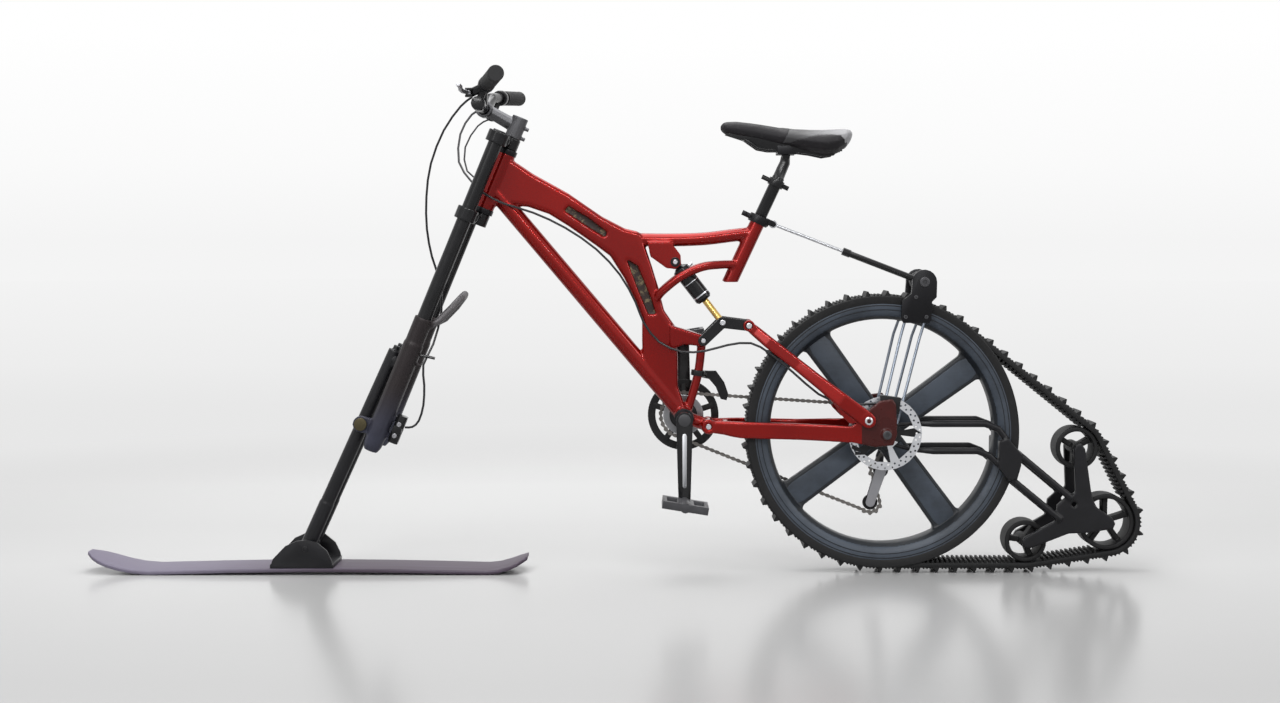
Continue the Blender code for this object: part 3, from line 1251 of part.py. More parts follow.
def make_belt():
    """The rubber track with a stud at each pitch, as one band round its four wheels."""
    inner_gap = clearance
    arcs = tangent_loop(belt_wheels(inner_gap))
    pieces = []
    length = 0.0
    for index, arc in enumerate(arcs):
        arc_length = arc[1] * arc[4]
        pieces.append((length, arc_length, arc, None))
        length += arc_length
        leave, heading = arc_point(arc, 1.0)
        arrive, _ = arc_point(arcs[(index + 1) % len(arcs)], 0.0)
        run = math.dist(leave, arrive)
        pieces.append((length, run, leave, heading))
        length += run

    def place_at(distance):
        distance %= length
        for start, span, piece, heading in pieces:
            if distance <= start + span + 1e-9:
                share = (distance - start) / span
                if heading is None:
                    return arc_point(piece, share)
                return (piece[0] + math.cos(heading) * (distance - start),
                        piece[1] + math.sin(heading) * (distance - start)), heading
        return place_at(0.0)

    studs = round(length / stud_pitch)
    pitch = length / studs
    stops = []
    for number in range(studs):
        centre = (number + 0.5) * pitch
        stops += [(centre - stud_width / 2, centre, (0, stud_height)),
                  (centre + stud_width / 2, centre, (stud_height, 0))]
    for start, span, piece, heading in pieces:
        if heading is None:
            steps = 1 if piece[1] > 4 * stud_pitch else math.ceil(piece[4] / belt_step)
            for step in range(steps + 1):
                distance = start + span * step / steps
                if abs(distance % pitch - pitch / 2) > stud_width:
                    stops.append((distance, distance, (0,)))

    def lift_at(distance):
        """How far the inner face stands off its wheel, so that its flat steps clear the wheel."""
        for start, span, piece, heading in pieces:
            if heading is None and (distance - start + stud_width) % length < span + 2 * stud_width:
                step_angle = min(belt_step + stud_width / piece[1], pitch / piece[1])
                return piece[1] * (1 / math.cos(step_angle / 2) - 1)
        return 0.0

    samples = []
    for distance, anchor, heights in sorted(stops):
        (x, z), heading = place_at(anchor)
        lift = lift_at(anchor)
        inner = (x + math.sin(heading) * lift, z - math.cos(heading) * lift)
        (x, z), heading = place_at(distance)
        for height in heights:
            rise = belt_thickness + height
            outer = (x + math.sin(heading) * rise, z - math.cos(heading) * rise)
            samples.append((inner, outer, -belt_half_width, belt_half_width))
    sub_part("track_belt", stepped_band(samples), rubber, track_hinge)


def stepped_band(samples):
    """A closed band whose outer side may step at one inner place."""
    inner_ids = {}
    vertices = []
    outer_rows = []
    inner_rows = []
    for inner, outer, low, high in samples:
        key = (round(inner[0], 7), round(inner[1], 7))
        if key not in inner_ids:
            inner_ids[key] = len(vertices)
            vertices += [at(inner, low), at(inner, high)]
        inner_rows.append(inner_ids[key])
        outer_rows.append(len(vertices))
        vertices += [at(outer, low), at(outer, high)]
    faces = []
    for index, first in enumerate(inner_rows):
        after = (index + 1) % len(inner_rows)
        second = inner_rows[after]
        outer_first = outer_rows[index]
        outer_second = outer_rows[after]
        faces.append((outer_first, outer_second, outer_second + 1, outer_first + 1))
        if first == second:
            faces.append((first, outer_first, outer_second))
            faces.append((first + 1, outer_second + 1, outer_first + 1))
        else:
            faces.append((first, outer_first, outer_second, second))
            faces.append((first + 1, second + 1, outer_second + 1, outer_first + 1))
            faces.append((first, second, second + 1, first + 1))
    return shape_from(vertices, faces)


def make_track_arms():
    """The welded arms that hang the small track wheels from the hub, with their axles."""
    shapes = []
    cuts = []
    for side in (-1, 1):
        def span(low, high):
            return sorted((side * low, side * high))
        y = side * arm_tube_side
        ring_end = arm_ring_inner + arm_ring_width
        shapes.append(pin(rear_axle, arm_ring_radius, *span(arm_ring_inner, ring_end), hub_sides))
        tube = round_section(arm_tube_radius)
        inner_y = side * (arm_ring_inner + arm_ring_width / 2)
        upper = beside(rear_axle, ((0.016, 0.015), (0.061, 0.0185), (0.106, 0.019), (0.219, 0.019),
                                   (0.248, 0.008), (0.264, -0.013), (0.270, -0.038)))
        lower = beside(rear_axle, ((0.016, -0.025), (0.061, -0.038), (0.106, -0.040), (0.203, -0.040),
                                   (0.228, -0.050), (0.262, -0.080)))
        for places in (upper, lower):
            straight = len(places) - 2
            sections = [round_section(radius) for radius in [0.0046, 0.0046] + [arm_tube_radius] * straight]
            sides = [inner_y, inner_y] + [y] * straight
            shapes.append(sweep([at(place, out) for place, out in zip(places, sides)], sections))
        yoke = hull(beside(rear_axle, ((0.249, -0.018), (0.268, -0.012), (0.298, -0.046), (0.296, -0.072),
                                       (0.288, -0.100), (0.268, -0.103), (0.248, -0.076))))
        shapes.append(prism(yoke, *span(arm_tube_side - 0.011, arm_tube_side + 0.011)))
        starts = beside(rear_axle, ((0.284, -0.040), (0.268, -0.094)))
        ends = beside(tail_wheel_centre, ((-0.081, 0.054), (-0.105, 0.008)))
        for start, end in zip(starts, ends):
            shapes.append(sweep([at(start, y), at(end, y)], tube))
        plate_side = span(arm_tube_side - 0.0100, arm_tube_side + 0.0015)
        plate = (beside(lower_idler_centre, ((-0.0105, -0.007), (-0.0045, -0.0105), (0.0055, -0.012)))
                 + beside(tail_wheel_centre, ((-0.088, -0.022), (-0.043, -0.020), (-0.007, -0.014),
                                              (0.009, -0.012), (0.014, 0), (0.007, 0.013),
                                              (-0.027, 0.036), (-0.037, 0.058)))
                 + beside(upper_idler_centre, ((0.0125, 0.001), (0.005, 0.0115), (-0.007, 0.0105),
                                               (-0.0125, -0.001)))
                 + beside(tail_wheel_centre, ((-0.073, 0.068), (-0.091, 0.060), (-0.113, 0.040),
                                              (-0.115, 0.008)))
                 + beside(lower_idler_centre, ((-0.0065, 0.012), (-0.0125, 0.003))))
        shapes.append(prism(plate, *plate_side))
        cuts.append(bore(rear_axle, hub_seat_radius, *span(0.03, 0.07), running_clearance, hub_sides))
        plate_hole = beside(tail_wheel_centre, ((-0.0755, 0.042),))[0]
        cuts.append(pin(plate_hole, 0.0065, *span(0.03, 0.07)))
    reach = arm_tube_side - 0.001
    for centre in (upper_idler_centre, lower_idler_centre, tail_wheel_centre):
        shapes.append(pin(centre, track_wheel_axle_radius, -reach, reach))
    first = shapes.pop(0)
    sub_part("track_arms", combine(first, shapes, cuts), black, track_hinge)


def make_torque_arm():
    """The bridge over the belt, with two thin legs down each side to rings on the hub."""
    shapes = []
    cheek_outer = cheek_inner + cheek_thickness
    ring_low = arm_ring_inner + arm_ring_width + 0.0006
    ring_high = hub_seat_end - 0.0005
    leg_side = (ring_low + ring_high) / 2
    bridge = pin(boss_centre, 0.0225, -cheek_outer, cheek_outer, round_sides)
    for side in (-1, 1):
        span = sorted((side * cheek_inner, side * cheek_outer))
        head = [(boss_radius * math.cos(angle), boss_radius * math.sin(angle))
                for angle in (math.radians(step * 21) for step in range(10))]
        sleeve = [(-0.0285, -0.025), (-0.049, -0.041), (-0.051, -0.082), (-0.0455, -0.089),
                  (0.0095, -0.089), (0.0145, -0.082), (0.016, -0.043), (0.026, -0.033)]
        outline = beside(boss_centre, head + sleeve)
        shapes.append(prism(outline, *span))
        low, high = sorted((side * ring_low, side * ring_high))
        shapes.append(pin(rear_axle, 0.0330, low, high, hub_sides))
        y = side * leg_side
        tops = beside(boss_centre, ((-0.0425, -0.073), (0.0005, -0.073)))
        feet = beside(rear_axle, ((-0.0075, 0.0295), (0.0245, 0.0070)))
        for top, foot in zip(tops, feet):
            bend = (top[0] * 0.8 + foot[0] * 0.2, top[1] * 0.8 + foot[1] * 0.2)
            route = [at(top, side * (cheek_inner + 0.0055)),
                     at((top[0], top[1] - 0.012), side * (cheek_inner + 0.006)), at(bend, y), at(foot, y)]
            shapes.append(sweep(route, round_section(torque_leg_radius)))
    cuts = [bore(rear_axle, hub_seat_radius, -0.07, 0.07, running_clearance, hub_sides),
            pin(boss_centre, 0.0150, -0.0085, 0.0085, round_sides),
            block((boss_centre[0] - 0.020, 0, boss_centre[1] + 0.004), (0.040, 0.017, 0.044))]
    arm = combine(bridge, shapes, cuts)
    arm = combine(arm, [pin(boss_centre, boss_pin_radius, -0.0125, 0.0125)])
    sub_part("torque_arm", arm, black, track_hinge)


def make_rod():
    """The telescopic rod from the seat clamp to the torque arm."""
    start = at(rod_pivot)
    end = at(boss_centre)
    along = (end - start).normalized()
    length = (end - start).length
    eye = pin(rod_pivot, 0.0090, -0.0050, 0.0050, 12)
    shaft = rod(start + along * 0.004, start + along * (rod_tube_start + 0.085), rod_radius)
    hole = bore(rod_pivot, 0.0025, -0.02, 0.02)
    sub_part("rod_inner", combine(eye, [shaft], [hole]), steel, rod_hinge)
    tube = rod(start + along * rod_tube_start, start + along * (length - 0.008), rod_tube_radius)
    cap = rod(start + along * (rod_tube_start - 0.004), start + along * (rod_tube_start + 0.014),
              rod_tube_radius + 0.0015)
    foot = pin(boss_centre, 0.0125, -0.0080, 0.0080, 14)
    space = rod(start + along * (rod_tube_start - 0.02), start + along * (rod_tube_start + 0.125),
                round_fit(rod_radius, running_clearance, small_sides))
    eye_space = bore(boss_centre, boss_pin_radius, -0.02, 0.02, 0.0010)
    sub_part("rod_tube", combine(tube, [cap, foot], [space, eye_space]), black, rod_slide)


def make_crankset():
    """Crank arms with pedal spindles, the two chainrings and the pedals."""
    outer = crank_inner + crank_thickness
    for name, side, turn in (("left", -1, -1), ("right", 1, 1)):
        end = (crank_axle[0], crank_axle[1] + turn * crank_length)
        low, high = sorted((side * crank_inner, side * outer))
        arm = link(crank_axle, 0.0180, end, 0.0130, low, high, round_sides)
        spindle_end = side * (outer + 0.006 + pedal_width * 0.72)
        shapes = [pin(end, pedal_spindle_radius, *sorted((side * (outer - 0.004), spindle_end)))]
        cuts = []
        if side < 0:
            shapes.append(pin(crank_axle, 0.0170, -crank_inner - 0.002, -0.0400, round_sides))
            cuts.append(bore(crank_axle, spindle_radius, -0.1, -0.03, clearance, round_sides))
        else:
            shapes.append(pin(crank_axle, 0.0190, 0.0400, crank_inner + 0.002, round_sides))
            shapes.append(pin(crank_axle, spindle_radius, -outer + 0.002, 0.0450, round_sides))
            spider_low = small_ring_place + chain_width / 2 + 2 * running_clearance
            spider_high = large_ring_place - ring_thickness / 2 - clearance
            shapes.append(pin(crank_axle, small_ring_radius - 0.0080,
                              small_ring_place + ring_thickness / 2 + clearance, spider_high, round_sides))
            for outline in spoke_outlines(crank_axle, 0.010, 0.0700, 0.013, 5, math.pi / 2):
                shapes.append(prism(outline, spider_low, spider_high))
        sub_part("crank_" + name, combine(arm, shapes, cuts), black, crank_axis)

        pedal_axis = joint("pedal_axis_" + name, end, parent=crank_axis)
        tilt = pedal_tilt * (1 if side < 0 else -1)
        low = outer + 0.004
        middle = side * (low + pedal_width / 2)
        centre = (end[0], middle, end[1])
        body = block(centre, (pedal_length, pedal_width, pedal_height * 0.72), tilt)
        spine = rod(at(end, side * low), at(end, side * (low + pedal_width)), pedal_height / 2, 12)
        openings = []
        for offset in (-0.029, 0.029):
            hole_centre = (end[0] + offset * math.cos(tilt), middle, end[1] + offset * math.sin(tilt))
            openings.append(block(hole_centre, (0.022, pedal_width * 0.66, 0.06), tilt))
        hole_end = outer + 0.0065 + pedal_width * 0.73
        space = bore(end, pedal_spindle_radius, *sorted((side * 0.07, side * hole_end)))
        sub_part("pedal_" + name, combine(body, [spine], [*openings, space]), grey_metal, pedal_axis)

    for name, place, radius, width, material in (
            ("chainring_large", large_ring_place, large_ring_radius, 0.017, black),
            ("chainring_small", small_ring_place, small_ring_radius, 0.014, steel)):
        low = place - ring_thickness / 2
        ring = ring_across(crank_axle, radius - width, radius, low, low + ring_thickness, chainring_sides)
        sub_part(name, ring, material, crank_axis)


def chain_side(x):
    """The chain's place across the bike, from the small chainring to the cassette."""
    start = crank_axle[0] + 0.110
    share = (x - start) / (rear_axle[0] - 0.060 - start)
    return small_ring_place + (chain_cog_place - small_ring_place) * min(1.0, max(0.0, share))


def make_chain():
    """The chain, as a closed band round the small ring, one cog and the two pulleys."""
    half = chain_height / 2
    gap = half + (cog_radii[chain_cog] + half) * (1 / math.cos(chain_step / 2) - 1) + clearance
    wheels = [(crank_axle, small_ring_radius + gap, -1), (rear_axle, cog_radii[chain_cog] + gap, -1),
              (guide_pulley, pulley_radius + gap, 1), (tension_pulley, pulley_radius + gap, -1)]
    samples = []
    points = loop_points(wheels, chain_step)
    full = []
    for index, (place, heading) in enumerate(points):
        full.append((place, heading))
        following, _ = points[(index + 1) % len(points)]
        run = math.dist(place, following)
        if run > 0.12:
            for step in range(1, 8):
                share = step / 8
                full.append(((place[0] + (following[0] - place[0]) * share,
                              place[1] + (following[1] - place[1]) * share), heading))
    for (x, z), heading in full:
        left = (-math.sin(heading) * half, math.cos(heading) * half)
        side = chain_side(x)
        samples.append(((x - left[0], z - left[1]), (x + left[0], z + left[1]),
                        side - chain_width / 2, side + chain_width / 2))
    sub_part("chain", loop_band(samples), grey_metal)


def make_rear_derailleur():
    """The derailleur's body on its hanger, the cage and the two pulleys."""
    cog_place = chain_cog_place
    cage_low = cog_place - cage_gap - cage_plate_thickness
    cage_high = cog_place + cage_gap + cage_plate_thickness
    hanger_face = dropout_inner + dropout_thickness + clearance
    knuckle = pin(hanger_foot, 0.0095, hanger_face, hanger_face + 0.012, 12)
    elbow = beside(rear_axle, ((0.010, -0.068),))[0]
    mount = pin(guide_pulley, 0.0115, cage_high + clearance, hanger_face + 0.013, 14)
    bridge = sweep([at(hanger_foot, hanger_face + 0.007), at(elbow, hanger_face + 0.005),
                    at(guide_pulley, hanger_face + 0.006)], bar_section(0.011, 0.018))
    sub_part("derailleur_body", combine(knuckle, [mount, bridge]), black, swingarm_hinge)

    plates = []
    for low in (cage_low, cage_high - cage_plate_thickness):
        plates.append(link(guide_pulley, 0.0125, tension_pulley, 0.0105, low, low + cage_plate_thickness))
    for place in (guide_pulley, tension_pulley):
        plates.append(pin(place, pulley_pin_radius, cage_low + 0.0005, cage_high - 0.0005))
    first = plates.pop(0)
    sub_part("derailleur_cage", combine(first, plates), grey_metal, cage_hinge)
    for name, place, parent in (("guide_pulley", guide_pulley, guide_axis),
                                ("tension_pulley", tension_pulley, tension_axis)):
        inner = round_fit(pulley_pin_radius, running_clearance, round_sides)
        wheel = ring_across(place, inner, pulley_radius, cog_place - pulley_width / 2,
                            cog_place + pulley_width / 2, round_sides)
        sub_part(name, wheel, black, parent)


def make_front_derailleur():
    """The derailleur clamped on the frame's rear strut, and the cage that moves the chain."""
    clamp_place = (0.1815, 0.434)
    inner = round_fit(rear_strut_radius, clearance, small_sides) + 0.0004
    direction = (at((0.181, 0.430)) - at((0.190, 0.503))).normalized()
    centre = at(clamp_place)
    profile = [(inner, 0), (inner + 0.004, 0), (inner + 0.004, 0.012), (inner, 0.012)]
    band = turned(profile, centre - direction * 0.006, direction, 12, hollow=True)
    inner_plate = small_ring_place - chain_width / 2 - 0.0035
    outer_plate = small_ring_place + chain_width / 2 + 0.0035
    guide_place = (0.1965, 0.4275)
    arm = sweep([Vector((centre.x, 0.0125, centre.z)), Vector((centre.x + 0.007, 0.021, centre.z - 0.002)),
                 at(guide_place, 0.029), at(guide_place, inner_plate - 0.004)],
                bar_section(0.012, 0.011), Vector((1, 0, 0)))
    guide = pin(guide_place, guide_pin_radius, inner_plate - 0.006, outer_plate - 0.001)
    sub_part("front_derailleur_body", combine(band, [arm, guide]), black)

    plates = []
    outline = [(0.188, 0.4360), (0.185, 0.4220), (0.207, 0.4175), (0.222, 0.4000), (0.233, 0.3730),
               (0.246, 0.3700), (0.250, 0.3840), (0.241, 0.4100), (0.223, 0.4350)]
    for low, high in ((inner_plate - 0.0015, inner_plate), (outer_plate, outer_plate + 0.0015)):
        plates.append(prism(outline, low, high))
    plate_gap = outer_plate - inner_plate
    plates.append(block((0.206, small_ring_place, 0.4340), (0.026, plate_gap + 0.0020, 0.003)))
    first = plates.pop(0)
    hole = bore(guide_place, guide_pin_radius, inner_plate - 0.01, inner_plate + 0.01)
    sub_part("front_derailleur_cage", combine(first, plates, [hole]), grey_metal, shifting_slide)


def hose(name, points, radius, count, parent=None):
    """A cable or hose along a smooth route through chosen points."""
    origin = Vector(parent["world"]) if parent else Vector()
    route = smooth(points, count)
    curve = bpy.data.curves.new(name, "CURVE")
    curve.dimensions = "3D"
    curve.bevel_depth = radius
    curve.bevel_resolution = 2
    curve.use_fill_caps = True
    spline = curve.splines.new("POLY")
    spline.points.add(len(route) - 1)
    for target, point in zip(spline.points, route):
        target.co = (*(point - origin), 1)
    curve.materials.append(rubber)
    cable = bpy.data.objects.new(name, curve)
    bpy.context.scene.collection.objects.link(cable)
    cable.parent = parent


def make_hoses():
    """The front brake hose, the rear brake hose and the shift cable, along their real routes."""
    front = [(-0.3010, -0.1520, 1.0290), (-0.3260, -0.1440, 1.0100), (-0.3640, -0.1260, 0.9600),
             (-0.3940, -0.1050, 0.8900), (-0.4060, -0.0850, 0.8200), (-0.4080, -0.0600, 0.7500),
             (-0.3990, -0.0440, 0.6900), (-0.3830, -0.0350, 0.6350), (-0.3790, -0.0380, 0.5700),
             (-0.3950, -0.0540, 0.5000), (-0.4150, -0.0660, 0.4560), (-0.4130, -0.0660, 0.4120),
             (-0.4150, -0.0645, 0.3690), (-0.4250, -0.0635, 0.3350), (-0.4390, -0.0630, 0.3215),
             (-0.4552, -0.0630, 0.3204)]
    rear = [(-0.3010, 0.1520, 1.0300), (-0.3300, 0.1400, 1.0120), (-0.3520, 0.1000, 0.9650),
            (-0.3500, 0.0500, 0.9000), (-0.3180, 0.0000, 0.8560), (-0.2900, -0.0300, 0.8300),
            (-0.2440, -0.0290, 0.8060), (-0.1800, -0.0210, 0.7860), (-0.1100, -0.0200, 0.7530),
            (-0.0420, -0.0200, 0.7060), (0.0100, -0.0200, 0.6500), (0.0440, -0.0200, 0.5900),
            (0.0620, -0.0200, 0.5450), (0.0960, -0.0215, 0.5030), (0.1450, -0.0400, 0.4830),
            (0.1950, -0.0480, 0.4850), (0.2450, -0.0485, 0.4980), (0.2950, -0.0490, 0.5020),
            (0.3360, -0.0500, 0.4800), (0.3850, -0.0580, 0.4400), (0.4400, -0.0690, 0.3930),
            (0.4850, -0.0755, 0.3760), (0.5300, -0.0757, 0.3710), (0.5680, -0.0757, 0.3740)]
    shift = [(-0.2920, 0.1440, 1.0010), (-0.3150, 0.1250, 0.9850), (-0.3400, 0.0900, 0.9350),
             (-0.3320, 0.0550, 0.8800), (-0.2900, 0.0360, 0.8500), (-0.2400, 0.0300, 0.8150),
             (-0.1900, 0.0235, 0.7450), (-0.1300, 0.0211, 0.6760), (-0.0500, 0.0211, 0.5810),
             (0.0300, 0.0211, 0.4860), (0.0900, 0.0240, 0.4140)]
    hose("front_brake_hose", front, 0.0025, 2, steering)
    hose("rear_brake_hose", rear, 0.0025, 2)
    hose("shift_cable", shift, 0.0020, 2)


make_main_frame()
make_headset()
make_bottom_bracket()
make_seat_clamp()
make_seat_post()
make_saddle()
make_crowns()
make_fork_lowers()
make_ski_struts()
make_ski()
make_stem_and_bar()
make_controls()
make_swingarm()
make_seat_stays()
make_rocker()
make_shock()
make_wheel()
make_rear_caliper()
track_wheel("upper_idler", upper_idler_centre, upper_idler_radius, 3, upper_idler_axis, 0.5)
track_wheel("lower_idler", lower_idler_centre, lower_idler_radius, 3, lower_idler_axis, 0.9)
track_wheel("tail_wheel", tail_wheel_centre, tail_wheel_radius, 5, tail_wheel_axis, 0.3)
make_belt()
make_track_arms()
make_torque_arm()
make_rod()
make_crankset()
make_chain()
make_rear_derailleur()
make_front_derailleur()
make_hoses()
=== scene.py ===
"""Snow bike, dressed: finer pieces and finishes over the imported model, with a plain studio stage."""
import math
from contextlib import contextmanager

import bpy
from bpy.props import FloatProperty, FloatVectorProperty, IntProperty, PointerProperty
from mathutils import Matrix, Vector


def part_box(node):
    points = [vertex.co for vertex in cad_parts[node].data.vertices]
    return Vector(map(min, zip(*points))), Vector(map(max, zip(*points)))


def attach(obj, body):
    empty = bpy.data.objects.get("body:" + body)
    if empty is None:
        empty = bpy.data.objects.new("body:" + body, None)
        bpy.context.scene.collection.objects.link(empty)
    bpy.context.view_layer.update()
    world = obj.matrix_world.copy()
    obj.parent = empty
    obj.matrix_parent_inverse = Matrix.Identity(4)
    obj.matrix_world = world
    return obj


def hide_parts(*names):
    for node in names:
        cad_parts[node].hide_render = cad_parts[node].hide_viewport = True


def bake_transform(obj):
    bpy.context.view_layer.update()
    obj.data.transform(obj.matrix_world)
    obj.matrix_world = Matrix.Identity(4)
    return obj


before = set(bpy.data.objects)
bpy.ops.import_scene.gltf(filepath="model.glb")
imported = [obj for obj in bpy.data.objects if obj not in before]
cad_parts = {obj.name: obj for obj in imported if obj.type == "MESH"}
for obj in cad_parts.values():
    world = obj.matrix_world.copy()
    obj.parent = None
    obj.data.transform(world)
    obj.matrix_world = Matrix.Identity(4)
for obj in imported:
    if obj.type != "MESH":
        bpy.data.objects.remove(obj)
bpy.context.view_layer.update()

bl_info = {
    "name": "Snow Bike Builder",
    "version": (1, 0, 0),
    "blender": (4, 5, 0),
    "location": "View3D > Sidebar > Snow Bike",
    "description": "Builds a snow bike piece by piece with its finishes and a studio stage",
    "category": "Add Mesh",
}

SIDES = (("left", -1), ("right", 1))

# Places in the side view, (x, z), and sizes, in metres
REAR_AXLE = (0.584, 0.308)
RIM_RADIUS = 0.2857
BELT_THICKNESS = 0.012
BELT_HALF_WIDTH = 0.035
BELT_GAP = 0.0006
UPPER_IDLER = (1.009, 0.271)
UPPER_IDLER_RADIUS = 0.047
LOWER_IDLER = (0.8965, 0.068)
LOWER_IDLER_RADIUS = 0.046
TAIL_WHEEL = (1.073, 0.110)
TAIL_WHEEL_RADIUS = 0.0615
CRANK_AXLE = (0.150, 0.337)
GUIDE_PULLEY = (0.592, 0.212)
TENSION_PULLEY = (0.568, 0.140)
SWINGARM_PIVOT = (0.2035, 0.319)
DROPOUT_PIVOT = (0.545, 0.338)
ROCKER_FRAME_PIVOT = (0.1925, 0.506)
ROCKER_STAY_PIVOT = (0.2915, 0.539)
SHOCK_UPPER_EYE = (0.131, 0.678)
SHOCK_LOWER_EYE = (0.234, 0.546)
TORQUE_BOSS = (0.6725, 0.635)
FORK_ANGLE = math.radians(22.14)
STANCHION_FOOT = (-0.3885, 0.618)
STANCHION_SIDE = 0.066
STANCHION_RADIUS = 0.0158
STEERING_OFFSET = 0.024
SEAT_TUBE_TOP = (0.319, 0.779)
SEAT_ANGLE = math.radians(25.1)
BAR_CENTRE = (-0.289, 1.014)
BAR_BEND, BAR_BEND_SIDE = (-0.280, 1.049), 0.130
BAR_END, BAR_END_SIDE = (-0.2365, 1.063), 0.330
ACROSS = Vector((0, 1, 0))
FORK_UP = Vector((math.sin(FORK_ANGLE), 0, math.cos(FORK_ANGLE)))
FORK_BACK = Vector((math.cos(FORK_ANGLE), 0, -math.sin(FORK_ANGLE)))
SEAT_UP = Vector((math.sin(SEAT_ANGLE), 0, math.cos(SEAT_ANGLE)))

SAME_PLACE = 0.000002
# How far a bolt's head is sunk into the face that it sits on
BOLT_SUNK = 0.0006


# Sizes and colours a user may change
def length_setting(name, description, default, low, high):
    """A length property in metres."""
    return FloatProperty(name=name, description=description, default=default, min=low, max=high,
                         unit="LENGTH", subtype="DISTANCE")


def colour_setting(name, description, default):
    """A colour property in linear light."""
    return FloatVectorProperty(name=name, description=description, default=default, min=0.0, max=1.0,
                               size=3, subtype="COLOR")


class SnowBikeSizes(bpy.types.PropertyGroup):
    """Sizes of the finer pieces."""

    shell_voxel: length_setting(
        "Shell Fineness", "Grid size of the welded main frame's skin", 0.0025, 0.0012, 0.006)
    edge_round: length_setting(
        "Edge Rounding", "Radius of the small machined parts' edges", 0.0008, 0.0001, 0.003)
    cleat_height: length_setting(
        "Cleat Height", "How far a cleat stands out of the track", 0.0100, 0.004, 0.012)
    cleat_base: length_setting(
        "Cleat Base", "Length of a cleat's foot along the track", 0.0120, 0.006, 0.018)
    cleat_pitch: length_setting(
        "Cleat Pitch", "Distance from one cleat to the next", 0.0410, 0.02, 0.08)
    chain_pitch: length_setting(
        "Chain Pitch", "Distance between two chain rollers", 0.0127, 0.0095, 0.02)
    tooth_height: length_setting(
        "Tooth Height", "Height of the chainrings' and cogs' teeth", 0.0022, 0.001, 0.004)
    grip_ribs: IntProperty(
        name="Grip Ribs", description="Number of rubber ribs round each grip", default=16, min=4, max=40)
    saddle_swell: FloatProperty(
        name="Saddle Swell", description="Air pressure that swells the saddle's cover",
        default=3.0, min=0.5, max=8.0)


class SnowBikeColours(bpy.types.PropertyGroup):
    """Colours of the finishes."""

    candy_red: colour_setting("Frame Red", "Candy lacquer of the frame", (0.230, 0.0045, 0.0025))
    deep_red: colour_setting("Frame Deep Red", "Darker depth of the lacquer", (0.105, 0.002, 0.003))
    satin_black: colour_setting("Satin Black", "Powder-coated and anodised metal", (0.008, 0.008, 0.0095))
    slate_grey: colour_setting("Wheel Slate", "Moulded wheel", (0.040, 0.050, 0.066))
    rubber: colour_setting("Rubber", "Track, grips and small wheels", (0.009, 0.009, 0.0095))
    bright_steel: colour_setting("Bright Steel", "Rotor, bolts and rod", (0.66, 0.67, 0.70))
    grey_metal: colour_setting("Grey Aluminium", "Stem, levers and cogs", (0.34, 0.34, 0.36))
    gold: colour_setting("Gold Shaft", "The shock's plated shaft", (0.62, 0.42, 0.14))
    fork_grey: colour_setting("Fork Grey", "Lower legs of the fork", (0.023, 0.0185, 0.0195))
    ski_light: colour_setting("Ski Light", "Front half of the ski's top", (0.165, 0.148, 0.200))
    ski_dark: colour_setting("Ski Dark", "Rear half of the ski's top", (0.068, 0.052, 0.072))
    saddle_black: colour_setting("Saddle Black", "Saddle cover", (0.014, 0.013, 0.015))
    saddle_grey: colour_setting("Saddle Grey", "Rear panel of the saddle", (0.27, 0.27, 0.28))
    torque_blue: colour_setting("Leg Steel", "Torque arm's thin legs", (0.50, 0.56, 0.66))


def sizes():
    return bpy.context.scene.snow_bike_sizes


def paint(colour, tint=1.0):
    """A colour, or the user's setting of that name, made lighter or darker."""
    if isinstance(colour, str):
        colour = getattr(bpy.context.scene.snow_bike_colours, colour)
    return tuple(min(1.0, part * tint) for part in colour)


# Places and routes
def at(place, side=0.0):
    """A side-view place moved across the bike."""
    return Vector((place[0], side, place[1]))


def fork_point(up, back=0.0, side=0.0):
    """A place given along the fork, behind its legs and to the side."""
    return at(STANCHION_FOOT, side) + FORK_UP * up + FORK_BACK * back


def seat_point(up):
    """A place given along the seat tube from its top."""
    return at(SEAT_TUBE_TOP) + SEAT_UP * up


def round_place(centre, radius, angle):
    """A side-view place on a circle."""
    return (centre[0] + radius * math.cos(angle), centre[1] + radius * math.sin(angle))


def apart(place, centre):
    """How far a place is from an axis across the bike."""
    return (at(centre, place.y) - place).length


def smooth_route(points, count):
    """A smooth route through points, with a number of steps between each two."""
    points = [Vector(point) for point in points]
    ends = [points[0] * 2 - points[1]] + points + [points[-1] * 2 - points[-2]]
    route = []
    for index in range(1, len(ends) - 2):
        a, b, c, d = ends[index - 1:index + 3]
        for step in range(count):
            t = step / count
            route.append(0.5 * (2 * b + (c - a) * t + (2 * a - 5 * b + 4 * c - d) * t * t
                                + (3 * b - a - 3 * c + d) * t ** 3))
    return route + [points[-1]]


